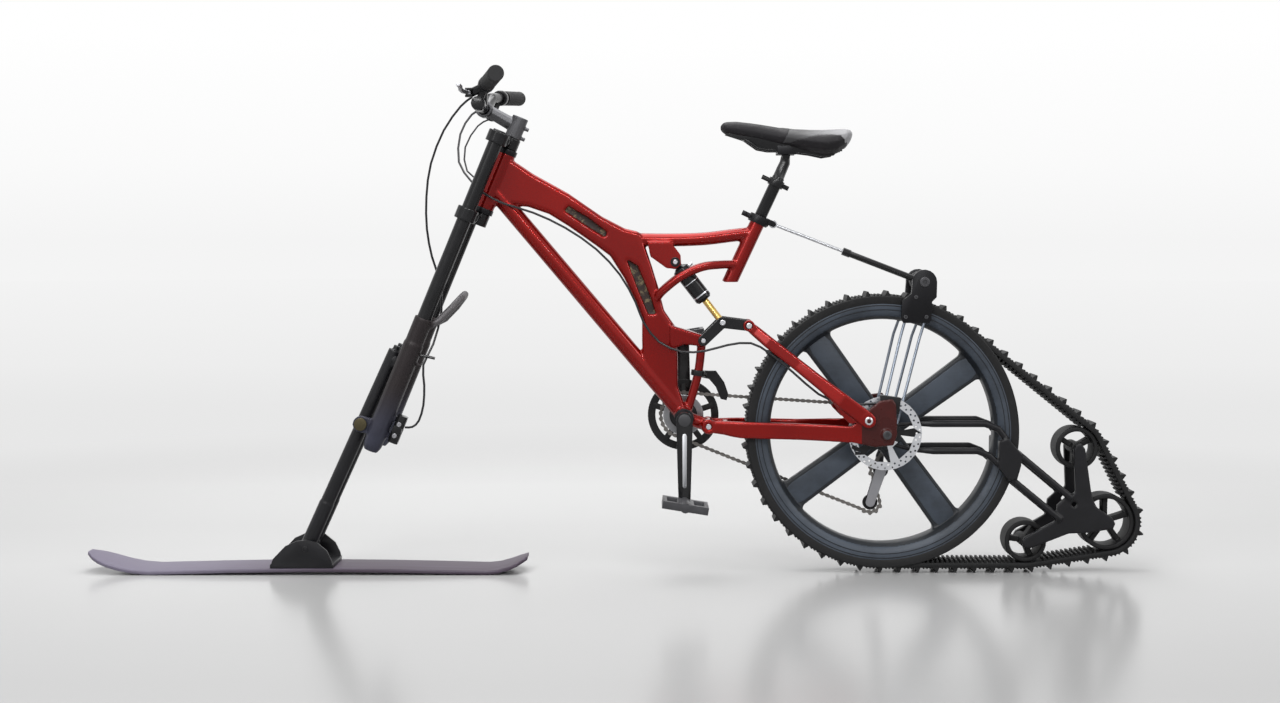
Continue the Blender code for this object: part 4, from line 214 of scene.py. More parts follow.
class WheelLoop:
    """The path of a belt or chain round wheels, each a place, a radius and a turning sense.

    Its pieces are arcs, each with a centre, a radius, a sense, a first heading and a sweep, and straight runs,
    each with a first place and a heading.
    """

    def __init__(self, wheels):
        self.pieces = []
        self.length = 0.0
        headings = []
        for (place, radius, sense), (goal, goal_radius, goal_sense) in zip(wheels, wheels[1:] + wheels[:1]):
            x, z = goal[0] - place[0], goal[1] - place[1]
            lean = math.asin((goal_radius * goal_sense - radius * sense) / math.hypot(x, z))
            headings.append(math.atan2(z, x) - lean)
        arcs = []
        for index, (centre, radius, sense) in enumerate(wheels):
            start = headings[index - 1]
            arcs.append((centre, radius, sense, start, ((headings[index] - start) * sense) % math.tau))
        for arc, following in zip(arcs, arcs[1:] + arcs[:1]):
            self.add(arc, arc[1] * arc[4])
            leave, heading = self.on_arc(arc, 1.0)
            arrive, _ = self.on_arc(following, 0.0)
            self.add((leave, heading), math.dist(leave, arrive))

    def add(self, piece, span):
        self.pieces.append((self.length, span, piece))
        self.length += span

    @staticmethod
    def is_run(piece):
        return len(piece) == 2

    @staticmethod
    def on_arc(arc, share):
        """The place and heading at a share of an arc's sweep."""
        centre, radius, sense, start, sweep = arc
        heading = start + sense * sweep * share
        return round_place(centre, radius, heading - sense * math.pi / 2), heading

    def place(self, distance):
        """The place and heading at a distance along the loop."""
        distance %= self.length
        for start, span, piece in self.pieces:
            if distance <= start + span:
                if not self.is_run(piece):
                    return self.on_arc(piece, (distance - start) / span)
                foot, heading = piece
                return round_place(foot, distance - start, heading), heading
        return self.place(0.0)


# Modelling by hand
def clear_selection():
    """Leave edit mode and select nothing."""
    if bpy.context.object and bpy.context.object.mode != "OBJECT":
        bpy.ops.object.mode_set(mode="OBJECT")
    bpy.ops.object.select_all(action="DESELECT")


def work_on(piece):
    """Select one piece and make it the active one."""
    clear_selection()
    piece.select_set(True)
    bpy.context.view_layer.objects.active = piece


@contextmanager
def editing(piece, mode="VERT", everything=True):
    """Edit mode on one piece, with all of it selected or with the selection that it has."""
    work_on(piece)
    bpy.ops.object.mode_set(mode="EDIT")
    bpy.ops.mesh.select_mode(type=mode)
    if everything:
        bpy.ops.mesh.select_all(action="SELECT")
    yield
    bpy.ops.object.mode_set(mode="OBJECT")


def pick_faces(piece, test):
    """Select only the faces whose centre and normal pass a test. It is called in object mode."""
    mesh = piece.data
    for group in (mesh.vertices, mesh.edges, mesh.polygons):
        group.foreach_set("select", [False] * len(group))
    for face in mesh.polygons:
        face.select = bool(test(face.center, face.normal))


def rename(piece, name):
    """Name an object and its data."""
    piece.name = name
    piece.data.name = name
    return piece


def add_object(name, data):
    """A new object in the scene."""
    piece = bpy.data.objects.new(name, data)
    bpy.context.scene.collection.objects.link(piece)
    return piece


def settle(name):
    """Name a new primitive and put its place into its mesh."""
    bpy.ops.object.transform_apply(location=True, rotation=True, scale=True)
    return rename(bpy.context.object, name)


def draw_line(name, points):
    """A chain of edges: a point that is extruded from place to place."""
    points = [Vector(point) for point in points]
    clear_selection()
    bpy.ops.mesh.primitive_plane_add(size=0.001, location=points[0])
    piece = settle(name)
    with editing(piece):
        bpy.ops.mesh.merge(type="CENTER")
        for before, after in zip(points, points[1:]):
            bpy.ops.mesh.extrude_vertices_move(TRANSFORM_OT_translate={"value": after - before})
    return piece


def tidy_normals(piece):
    """Merge the doubles and turn every face outwards."""
    with editing(piece):
        bpy.ops.mesh.remove_doubles(threshold=SAME_PLACE)
        bpy.ops.mesh.normals_make_consistent(inside=False)
    return piece


def apply_modifier(piece, kind, **settings):
    """Add a modifier, set it and apply it."""
    work_on(piece)
    modifier = piece.modifiers.new(kind.lower(), kind)
    for name, value in settings.items():
        setattr(modifier, name, value)
    bpy.ops.object.modifier_apply(modifier=modifier.name)
    return piece


def round_edges(piece, width=None, segments=2, angle=30):
    """Round the edges that turn more than an angle."""
    return apply_modifier(piece, "BEVEL", width=width or sizes().edge_round, segments=segments,
                          limit_method="ANGLE", angle_limit=math.radians(angle))


def plate(name, outline, low, high, rounding=0.0, segments=2):
    """A side-view outline made solid between two places across the bike."""
    piece = draw_line(name, [at(point, low) for point in outline])
    with editing(piece):
        bpy.ops.mesh.edge_face_add()
        bpy.ops.mesh.extrude_region_move(TRANSFORM_OT_translate={"value": (0, high - low, 0)})
    tidy_normals(piece)
    if rounding:
        round_edges(piece, rounding, segments)
    return piece


def turned(name, profile, place, axis=ACROSS, sides=48, ring=False):
    """A turned piece. Its profile is of radii and distances along the axis."""
    axis = Vector(axis).normalized()
    helper = Vector((0, 0, 1)) if abs(axis.z) < 0.9 else Vector((1, 0, 0))
    outwards = axis.cross(helper).normalized()
    if ring:
        profile = list(profile) + [profile[0]]
    place = Vector(place)
    piece = draw_line(name, [place + outwards * radius + axis * along for radius, along in profile])
    with editing(piece):
        bpy.ops.mesh.spin(steps=sides, angle=math.tau, center=place, axis=axis, dupli=False)
    return tidy_normals(piece)


def ring_profile(inner, outer, low, high):
    """A turned ring's four corners."""
    return [(inner, low), (outer, low), (outer, high), (inner, high)]


def both_halves(half):
    """A turned profile from the half of it on one side of the middle."""
    return half + [(radius, -along) for radius, along in reversed(half)]


def tube(name, route, radius, resolution=4):
    """A round tube along a route."""
    work_on(draw_line(name, route))
    bpy.ops.object.convert(target="CURVE")
    curve = bpy.context.object.data
    curve.dimensions = "3D"
    curve.bevel_depth = radius
    curve.bevel_resolution = resolution
    curve.use_fill_caps = True
    bpy.ops.object.convert(target="MESH")
    return tidy_normals(rename(bpy.context.object, name))


def across_bar(name, place, radius, low, high, sides=32, edge=0.0006):
    """A round bar across the bike, with broken edges."""
    profile = [(0, low), (radius - edge, low), (radius, low + edge), (radius, high - edge),
               (radius - edge, high), (0, high)]
    return turned(name, profile, at(place), ACROSS, sides)


def join(name, pieces):
    """Several pieces made one object."""
    clear_selection()
    for piece in pieces:
        piece.select_set(True)
    bpy.context.view_layer.objects.active = pieces[0]
    if len(pieces) > 1:
        bpy.ops.object.join()
    return rename(bpy.context.object, name)


def weld(piece, voxel=None, passes=3):
    """Fuse overlapping forms into one skin with soft inner corners."""
    grid = (voxel or sizes().shell_voxel) * 1.0
    apply_modifier(piece, "REMESH", mode="VOXEL", voxel_size=grid, adaptivity=0.0)
    return apply_modifier(piece, "SMOOTH", factor=0.5, iterations=passes)


def copy_node(node, name):
    """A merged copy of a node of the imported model, to be worked on."""
    piece = add_object(name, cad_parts[node].data.copy())
    piece.data.name = name
    piece.data.materials.clear()
    with editing(piece):
        bpy.ops.mesh.customdata_custom_splitnormals_clear()
        bpy.ops.mesh.remove_doubles(threshold=SAME_PLACE)
        bpy.ops.mesh.dissolve_limited(angle_limit=math.radians(0.3))
        bpy.ops.mesh.normals_make_consistent(inside=False)
    return piece


def crisp_copy(node, name, rounding=None, segments=2):
    """A machined form of a node: its edges are rounded."""
    return round_edges(copy_node(node, name), rounding, segments, 34)


def soft_copy(node, name, voxel, passes=5):
    """A cast or forged form of a node: its skin is made anew and smoothed."""
    return weld(copy_node(node, name), voxel, passes)


def finish(piece, look, body, nodes=(), angle=32):
    """Shade a piece, give it its finish and hang it on its body, or, for a bend, only put its place into its
    mesh.

    A bend names two bodies, the place up to which a point would follow the first, and the place from which it
    would follow the second; nothing reads these, so the piece hangs on no body and does not bend.
    """
    piece.data.materials.clear()
    piece.data.materials.append(finish_named(look))
    work_on(piece)
    bpy.ops.object.shade_smooth_by_angle(angle=math.radians(angle))
    if isinstance(body, tuple):
        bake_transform(piece)
    else:
        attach(piece, body)
    if nodes:
        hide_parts(*nodes)
    return piece


# Finishes
class Socket:
    """A shader value that is reckoned with like a number."""

    def __init__(self, nodes, link):
        self.nodes = nodes
        self.link = link

    def reckon(self, operation, first, second):
        return self.nodes.add("ShaderNodeMath", {"operation": operation}, {0: first, 1: second})

    def __add__(self, other):
        return self.reckon("ADD", self, other)

    def __sub__(self, other):
        return self.reckon("SUBTRACT", self, other)

    def __rsub__(self, other):
        return self.reckon("SUBTRACT", other, self)

    def __mul__(self, other):
        return self.reckon("MULTIPLY", self, other)

    def __gt__(self, other):
        return self.reckon("GREATER_THAN", self, other)

    def __lt__(self, other):
        return self.reckon("LESS_THAN", self, other)

    __radd__ = __add__
    __rmul__ = __mul__

    def fade(self, start, end):
        """0 before the start and 1 after the end, without steps."""
        return self.nodes.add("ShaderNodeMapRange", {"interpolation_type": "SMOOTHSTEP"},
                              {"Value": self, "From Min": start, "From Max": end}, "Result")


class Nodes:
    """A node tree under construction, with the places that its textures use."""

    def __init__(self, tree, places="Object"):
        self.tree = tree
        self.places = self.add("ShaderNodeTexCoord", {}, {}, places)

    def add(self, kind, settings, values, output=0):
        """Add a node: its settings first, then the values or links of its sockets."""
        node = self.tree.nodes.new(kind)
        for name, value in settings.items():
            if name == "stops":
                self.set_stops(node.color_ramp, value)
            else:
                setattr(node, name, value)
        for name, value in values.items():
            self.fill(node.inputs[name], value)
        return Socket(self, node.outputs[output])

    def fill(self, entry, value):
        """Link a socket, or set its value. A colour has no alpha."""
        if isinstance(value, Socket):
            self.tree.links.new(value.link, entry)
        elif entry.type == "RGBA":
            entry.default_value = (*value, 1)
        else:
            entry.default_value = value

    @staticmethod
    def set_stops(ramp, stops):
        while len(ramp.elements) < len(stops):
            ramp.elements.new(0.5)
        for element, (position, grey) in zip(ramp.elements, stops):
            element.position = position
            element.color = (grey, grey, grey, 1)

    def moved(self, location=(0, 0, 0), scale=(1, 1, 1), rotation=(0, 0, 0)):
        """Object places, shifted, turned and stretched."""
        return self.add("ShaderNodeMapping", {}, {
            "Vector": self.places, "Location": location, "Rotation": rotation, "Scale": scale}, "Vector")

    def noise(self, scale, detail=3.0, roughness=0.55, vector=None):
        return self.add("ShaderNodeTexNoise", {}, {
            "Vector": vector or self.places, "Scale": scale, "Detail": detail, "Roughness": roughness}, "Fac")

    def part(self, axis):
        """One of the X, Y and Z of a place."""
        return self.add("ShaderNodeSeparateXYZ", {}, {"Vector": self.places}, axis)

    def blend(self, share, first, second):
        """Mix two colours."""
        return self.add("ShaderNodeMix", {"data_type": "RGBA"}, {0: share, 6: first, 7: second}, 2)

    def length(self, vector):
        """How long a vector is."""
        return self.add("ShaderNodeVectorMath", {"operation": "LENGTH"}, {0: vector}, "Value")

    def greys(self, share, tones):
        """Greys at places from 0 to 1."""
        return self.add("ShaderNodeValToRGB", {"stops": tones}, {"Fac": share}, "Color")

    def grain(self, height, strength, distance=0.001, under=None):
        """A bump from a height, over another bump."""
        values = {"Height": height, "Strength": strength, "Distance": distance}
        if under:
            values["Normal"] = under
        return self.add("ShaderNodeBump", {}, values, "Normal")

    def shown_ray(self):
        """1 for what the camera sees, directly or in a reflection, and 0 for light on the object."""
        camera, glossy, clear = (self.add("ShaderNodeLightPath", {}, {}, f"Is {kind} Ray")
                                 for kind in ("Camera", "Glossy", "Transmission"))
        return self.add("ShaderNodeMath", {"operation": "MINIMUM"}, {0: camera + glossy + clear, 1: 1.0})

    def show(self, share, first, second, output):
        """Send a mix of two shaders to an output node."""
        mixed = self.add("ShaderNodeMixShader", {}, {0: share, 1: first, 2: second}, "Shader")
        self.tree.links.new(mixed.link, self.tree.nodes[output].inputs["Surface"])


class Finish(Nodes):
    """A material under construction."""

    def __init__(self, name):
        self.material = bpy.data.materials.new(name)
        self.material.use_nodes = True
        super().__init__(self.material.node_tree)
        self.shader = self.tree.nodes["Principled BSDF"]

    def set(self, **values):
        """Set or link the shader's sockets, named with underscores for spaces."""
        for name, value in values.items():
            self.fill(self.shader.inputs[name.replace("_", " ")], value)
        return self.material


def candy_lacquer(name):
    """Deep red lacquer with fine flakes under a clear coat."""
    f = Finish(name)
    cloud = f.noise(5.0, 2.0).fade(0.35, 0.70)
    flakes = f.noise(2200.0, 1.0)
    base = f.blend(cloud * 0.35, paint("candy_red"), paint("deep_red"))
    base = f.blend((flakes > 0.64) * 0.10, base, paint("candy_red", 1.6))
    return f.set(Base_Color=base, Metallic=0.50, Roughness=0.17 + f.noise(9.0) * 0.08,
                 Specular_IOR_Level=0.08, Coat_Weight=0.35, Coat_Roughness=0.05,
                 Normal=f.grain(f.noise(420.0, 2.0), 0.05, 0.0004))


def powder_coat(name, colour, gloss):
    """Powder coat: a fine orange peel, with rubbed and dusty patches."""
    f = Finish(name)
    patches = f.noise(18.0, 5.0, 0.65).fade(0.42, 0.72)
    base = f.blend(patches * 0.4, paint(colour), paint(colour, 2.0))
    return f.set(Base_Color=base, Roughness=gloss - f.noise(30.0) * 0.12, Specular_IOR_Level=0.25,
                 Normal=f.grain(f.noise(900.0, 2.0), 0.05, 0.0004))


def black_anodised(name):
    """Black anodised metal with a soft sheen."""
    f = Finish(name)
    scuffs = f.noise(60.0, 6.0, 0.7, f.moved(scale=(1, 1, 0.25))).fade(0.60, 0.74)
    base = f.blend(scuffs * 0.25, paint("satin_black"), (0.07, 0.07, 0.075))
    return f.set(Base_Color=base, Metallic=0.50, Specular_IOR_Level=0.35, Roughness=0.30 + f.noise(40.0) * 0.12,
                 Normal=f.grain(f.noise(700.0), 0.03, 0.0003))


def moulded_slate(name, tone):
    """Fibre-filled moulded plastic: cloudy slate grey with a fine texture. At a low tone it is a near-black copy
    that paints shade on the wheel's side walls and on all of the moulding inside the rim.
    """
    f = Finish(name)
    slate = paint("slate_grey", tone)
    cloud = f.noise(11.0, 5.0, 0.6).fade(0.35, 0.68)
    streaks = f.noise(55.0, 3.0, 0.6, f.moved(scale=(0.3, 1, 1))).fade(0.45, 0.75)
    base = f.blend(cloud * 0.8, paint(slate, 1.12), paint(slate, 0.55))
    base = f.blend(streaks * 0.20, base, paint(slate, 1.6))
    return f.set(Base_Color=base, Roughness=0.38 + cloud * 0.14, Specular_IOR_Level=0.4,
                 Normal=f.grain(f.noise(1100.0, 3.0), 0.20, 0.0005, f.grain(f.noise(25.0), 0.04, 0.004)))


def moulded_rubber(name, tone):
    """Moulded rubber: matt black with pale dust in patches."""
    f = Finish(name)
    dust = f.noise(26.0, 6.0, 0.7).fade(0.52, 0.80)
    base = f.blend(dust * 0.4, paint("rubber", tone), (0.040, 0.040, 0.042))
    return f.set(Base_Color=base, Roughness=0.55 + dust * 0.20, Specular_IOR_Level=0.25,
                 Normal=f.grain(f.noise(800.0, 3.0), 0.25, 0.0005, f.grain(f.noise(90.0), 0.10, 0.001)))


def brushed_metal(name, colour, tint, gloss, stretch=(1, 1, 0.04), wear=0.2):
    """Brushed metal: fine lines along one direction and slightly clouded."""
    f = Finish(name)
    colour = paint(colour, tint)
    lines = f.noise(900.0, 2.0, 0.6, f.moved(scale=stretch))
    cloud = f.noise(24.0, 4.0).fade(0.40, 0.75)
    base = f.blend(lines * 0.30, colour, paint(colour, 0.72))
    base = f.blend(cloud * wear, base, paint(colour, 0.45))
    return f.set(Base_Color=base, Metallic=1.0, Roughness=gloss + lines * 0.14,
                 Normal=f.grain(lines, 0.06, 0.0003))


def turned_metal(name, colour, tint, centre):
    """Metal ground in circles round an axis across the bike."""
    f = Finish(name)
    colour = paint(colour, tint)
    radius = f.length(f.moved(location=(-centre[0], 0, -centre[1]), scale=(1, 0, 1)))
    rings = f.add("ShaderNodeTexNoise", {"noise_dimensions": "1D"}, {
        "W": radius, "Scale": 1500.0, "Detail": 2.0}, "Fac")
    cloud = f.noise(30.0, 4.0).fade(0.45, 0.75)
    base = f.blend(rings * 0.35, colour, paint(colour, 0.66))
    base = f.blend(cloud * 0.25, base, paint(colour, 0.55))
    return f.set(Base_Color=base, Metallic=1.0, Roughness=0.24 + rings * 0.16,
                 Normal=f.grain(rings, 0.10, 0.0002))


def pocket_shade(name):
    """The beam's recesses: painted shade, dark brown, with cream-coloured spots."""
    f = Finish(name)
    spots = f.noise(70.0, 4.0, 0.7).fade(0.50, 0.66)
    base = f.blend(spots * 0.75, (0.022, 0.012, 0.010), (0.24, 0.19, 0.11))
    return f.set(Base_Color=base, Roughness=0.5 + spots * 0.2, Specular_IOR_Level=0.3,
                 Normal=f.grain(f.noise(400.0), 0.10, 0.0005))


def ski_topsheet(name):
    """The ski's printed top: lavender at the front, darker behind, with faint lengthwise streaks."""
    f = Finish(name)
    share = (f.part("X") + f.noise(14.0, 3.0) * 0.10).fade(-0.98, -0.50)
    streaks = f.noise(120.0, 3.0, 0.6, f.moved(scale=(0.03, 1, 1)))
    base = f.blend(share, paint("ski_light"), paint("ski_dark"))
    base = f.blend(streaks.fade(0.45, 0.75) * 0.30, base, paint("ski_light", 1.25))
    return f.set(Base_Color=base, Roughness=0.40 + streaks * 0.12, Specular_IOR_Level=0.18,
                 Normal=f.grain(f.noise(500.0), 0.05, 0.0003))


def fork_paint(name):
    """The fork legs' dark brown-grey paint, bluer towards the foot and paler on the arch."""
    f = Finish(name)
    height = f.part("Z")
    foot = 1.0 - height.fade(0.28, 0.42)
    cloud = f.noise(16.0, 4.0).fade(0.40, 0.72)
    behind = f.part("X") - height * (FORK_UP.x / FORK_UP.z)
    arch = behind.fade(-0.6180, -0.6090) * height.fade(0.50, 0.53)
    base = f.blend(foot * 0.8, paint("fork_grey"), (0.050, 0.055, 0.085))
    base = f.blend(cloud * 0.30, base, paint("fork_grey", 0.45))
    base = f.blend(arch * 0.8, base, (0.115, 0.110, 0.115))
    return f.set(Base_Color=base, Metallic=0.25, Roughness=0.36 + f.noise(50.0) * 0.10,
                 Specular_IOR_Level=0.25, Normal=f.grain(f.noise(600.0), 0.03, 0.0003))


def saddle_vinyl(name, front, rear, gloss):
    """Leather-grained vinyl, one colour in front and one behind: small cells with creases between them."""
    f = Finish(name)
    colour = f.blend(f.part("X").fade(0.39, 0.515), paint(front), paint(rear))
    cells = f.add("ShaderNodeTexVoronoi", {"feature": "DISTANCE_TO_EDGE"}, {
        "Vector": f.places, "Scale": 650.0}, "Distance")
    creases = f.noise(70.0, 4.0, 0.6).fade(0.55, 0.8)
    base = f.blend(creases * 0.35, colour, f.blend(0.5, colour, (0.12, 0.12, 0.12)))
    return f.set(Base_Color=base, Roughness=gloss + f.noise(120.0) * 0.16, Specular_IOR_Level=0.2,
                 Normal=f.grain(cells, 0.35, 0.0006, f.grain(f.noise(60.0), 0.08, 0.001)))


def gold_plate(name):
    """The plated shaft: pale gold, polished, with fine lines along it."""
    f = Finish(name)
    lines = f.noise(400.0, 2.0, 0.5, f.moved(rotation=(0, math.radians(-38), 0), scale=(1, 1, 0.03)))
    base = f.blend(lines * 0.15, paint("gold"), paint("gold", 0.6))
    return f.set(Base_Color=base, Metallic=1.0, Roughness=0.16 + lines * 0.12)


# What makes each finish, the name of its material, and the rest that its maker takes
FINISHES = {
    "candy": (candy_lacquer, "candy_red_lacquer"),
    "powder": (powder_coat, "powder_black", "satin_black", 0.42),
    "cable": (powder_coat, "cable_jacket", (0.020, 0.020, 0.022), 0.36),
    "gloss": (powder_coat, "gloss_black", (0.010, 0.010, 0.011), 0.26),
    "graphite": (powder_coat, "graphite_cast", (0.050, 0.050, 0.054), 0.44),
    "post": (powder_coat, "post_grey", (0.085, 0.092, 0.088), 0.36),
    "brown": (powder_coat, "brown_dropout", (0.050, 0.007, 0.006), 0.34),
    "anodised": (black_anodised, "black_anodised"),
    "slate": (moulded_slate, "moulded_slate", 1.15),
    "slate_dark": (moulded_slate, "moulded_slate_dark", 0.26),
    "rubber": (moulded_rubber, "black_rubber_moulded", 1.0),
    "grip": (moulded_rubber, "grip_rubber", 1.3),
    "steel": (brushed_metal, "brushed_steel", "bright_steel", 1.0, 0.24),
    "aluminium": (brushed_metal, "brushed_aluminium", "grey_metal", 1.0, 0.34),
    "rod": (brushed_metal, "rod_steel", "bright_steel", 0.85, 0.26, (0.2, 1, 0.2), 0.05),
    "stem": (brushed_metal, "stem_grey_metal", "grey_metal", 0.32, 0.38),
    # The light metal of the strips on the cranks, a painted highlight
    "inlay": (brushed_metal, "crank_inlay_metal", "bright_steel", 0.9, 0.3),
    "olive": (brushed_metal, "olive_axle_end", (0.085, 0.072, 0.042), 1.0, 0.42),
    "chain": (brushed_metal, "oiled_chain", (0.20, 0.19, 0.18), 1.0, 0.36, (1, 1, 0.04), 0.6),
    "leg": (brushed_metal, "leg_steel", "torque_blue", 0.42, 0.30, (1, 1, 0.02)),
    "rotor": (turned_metal, "ground_rotor_steel", "bright_steel", 1.0, REAR_AXLE),
    "cogs": (turned_metal, "cog_steel", "grey_metal", 0.8, REAR_AXLE),
    "ring": (turned_metal, "chainring_steel", "bright_steel", 0.42, CRANK_AXLE),
    "gold": (gold_plate, "gold_plate"),
    "fork": (fork_paint, "fork_paint"),
    "ski": (ski_topsheet, "ski_topsheet"),
    "saddle": (saddle_vinyl, "saddle_vinyl_black", "saddle_black", "saddle_black", 0.46),
    "panel": (saddle_vinyl, "saddle_vinyl_grey", (0.045, 0.045, 0.047), "saddle_grey", 0.36),
    "pocket": (pocket_shade, "pocket_shade"),
}
finished = {}


def finish_named(look):
    """A finish's material, made when it is first asked for."""
    if look not in finished:
        maker, *values = FINISHES[look]
        finished[look] = maker(*values)
    return finished[look]


# Forms shared by several pieces
def remove(piece):
    bpy.data.objects.remove(piece, do_unlink=True)


def cut_with(piece, cutter):
    """Cut one form out of another. The cutter goes."""
    apply_modifier(piece, "BOOLEAN", operation="DIFFERENCE", solver="EXACT", object=cutter)
    remove(cutter)
    return piece


def scatter(pattern, name, matrices):
    """Copies of a small pattern, each with its own mesh, joined. The pattern itself goes."""
    copies = []
    for index, matrix in enumerate(matrices):
        mesh = pattern.data.copy()
        mesh.transform(matrix)
        copies.append(add_object(f"{name}_{index}", mesh))
    remove(pattern)
    return join(name, copies)


def loop_matrix(loop, distance, side=0.0):
    """Puts a pattern of the level run, which lies at the origin, onto a place of a loop."""
    (x, z), heading = loop.place(distance)
    return Matrix.Translation((x, side, z)) @ Matrix.Rotation(-heading, 4, "Y")


def dress(node, look, body, slot, maker=crisp_copy, **settings):
    """Give a node its finer form and its finish."""
    return finish(maker(node, node + "_fine", **settings), look, body, (node,))


def inside(place, outline):
    """Whether a place lies within a side-view outline."""
    within = False
    for (x1, z1), (x2, z2) in zip(outline, outline[1:] + outline[:1]):
        if (z1 > place.z) != (z2 > place.z) and place.x < x1 + (place.z - z1) * (x2 - x1) / (z2 - z1):
            within = not within
    return within


def paint_where(piece, look, test):
    """Give the faces that pass a test another finish."""
    piece.data.materials.append(finish_named(look))
    slot = len(piece.data.materials) - 1
    for face in piece.data.polygons:
        if test(face.center, face.normal):
            face.material_index = slot


def blade(centre, inner, outer, width, outer_width, angle, flare=0.0):
    """The outline of a spoke that widens towards the rim."""
    out = (math.cos(angle), math.sin(angle))
    half = [(inner, width / 2), (outer * 0.93, outer_width / 2), (outer, outer_width / 2 + flare)]
    return [(centre[0] + out[0] * radius - out[1] * off, centre[1] + out[1] * radius + out[0] * off)
            for radius, off in both_halves(half)]


def hex_bolt(place, outwards, radius, height):
    """A socket bolt's head: a turned button with a six-sided hole."""
    head = turned("bolt", [(0, 0), (radius, 0), (radius, height * 0.6), (radius * 0.8, height), (0, height)],
                  place, outwards, 20)
    hole = turned("hole", [(0, height * 0.35), (radius * 0.48, height * 0.35), (radius * 0.48, height * 1.5),
                           (0, height * 1.5)], place, outwards, 6)
    return cut_with(head, hole)


def bolt_pairs(places, face, radius, height):
    """Socket bolts on both sides of the bike, on faces that far from its middle."""
    return [hex_bolt(at(place, side * face), (0, side, 0), radius, height)
            for place in places for _, side in SIDES]


def node_face(node):
    """Where a bolt on a node's outer side starts."""
    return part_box(node)[1].y - BOLT_SUNK


def toothed(name, centre, inner, outer, low, high, teeth):
    """A ring with teeth: every other outer face is drawn out and narrowed."""
    ring = turned(name, ring_profile(inner, outer, low, high), at(centre), ACROSS, teeth * 2, True)
    height = sizes().tooth_height

    def on_tooth(place, normal):
        turn = math.atan2(place.z - centre[1], place.x - centre[0])
        return (abs(normal.y) < 0.5 and apart(place, centre) > outer * 0.98
                and math.floor(turn * teeth / math.pi) % 2 == 0)

    pick_faces(ring, on_tooth)
    with editing(ring, "FACE", everything=False):
        bpy.ops.mesh.extrude_faces_move(TRANSFORM_OT_shrink_fatten={"value": height * 0.6})
        bpy.ops.mesh.inset(thickness=(high - low) * 0.16, depth=height * 0.4, use_individual=True)
    return ring


# Frame
BEAM = [(-0.2470, 0.9060), (-0.2260, 0.9020), (-0.1815, 0.8720), (-0.104, 0.8290), (-0.030, 0.778),
        (0.020, 0.752), (0.054, 0.744), (0.064, 0.716), (0.080, 0.669), (0.0935, 0.625), (0.107, 0.572),
        (0.131, 0.537), (0.137, 0.470), (0.1375, 0.405), (0.156, 0.352), (0.143, 0.338), (0.128, 0.348),
        (0.060, 0.452), (0.058, 0.506), (0.058, 0.550), (0.045, 0.590), (0.019, 0.642), (-0.012, 0.691),
        (-0.047, 0.717), (-0.104, 0.757), (-0.146, 0.783), (-0.1925, 0.799), (-0.284, 0.806)]
BEAM_HALF_WIDTH = 0.0168
RECESS_FLOOR = 0.0095
SLOT = [(-0.112, 0.790), (-0.104, 0.802), (-0.060, 0.776), (-0.018, 0.744), (-0.022, 0.731),
        (-0.064, 0.757)]
WINDOW = [(0.023, 0.686), (0.0495, 0.669), (0.078, 0.600), (0.090, 0.563), (0.0715, 0.563),
          (0.0495, 0.616)]
SHOCK_LUG = [(0.070, 0.722), (0.122, 0.722), (0.143, 0.694), (0.145, 0.672), (0.132, 0.662),
             (0.112, 0.664), (0.076, 0.690)]
ROCKER_LUG = [(0.120, 0.540), (0.150, 0.531), (0.1985, 0.5155), (0.2035, 0.506), (0.199, 0.4955),
              (0.190, 0.4935), (0.150, 0.497), (0.120, 0.485)]
ROCKER_SPACE = [(0.175, 0.574), (0.295, 0.574), (0.295, 0.634), (0.175, 0.634)]
UPPER_BRACE = [(0.020, 0.728), (0.110, 0.7265), (0.190, 0.7285), (0.258, 0.7365), (0.301, 0.741)]
LOWER_BRACE = [(0.088, 0.596, 0.010), (0.106, 0.617, 0.024), (0.146, 0.648, 0.031), (0.190, 0.667, 0.031),
               (0.230, 0.672, 0.020), (0.266, 0.673, 0.006)]
REAR_STRUT = [(0.190, 0.503), (0.181, 0.430), (0.158, 0.350)]


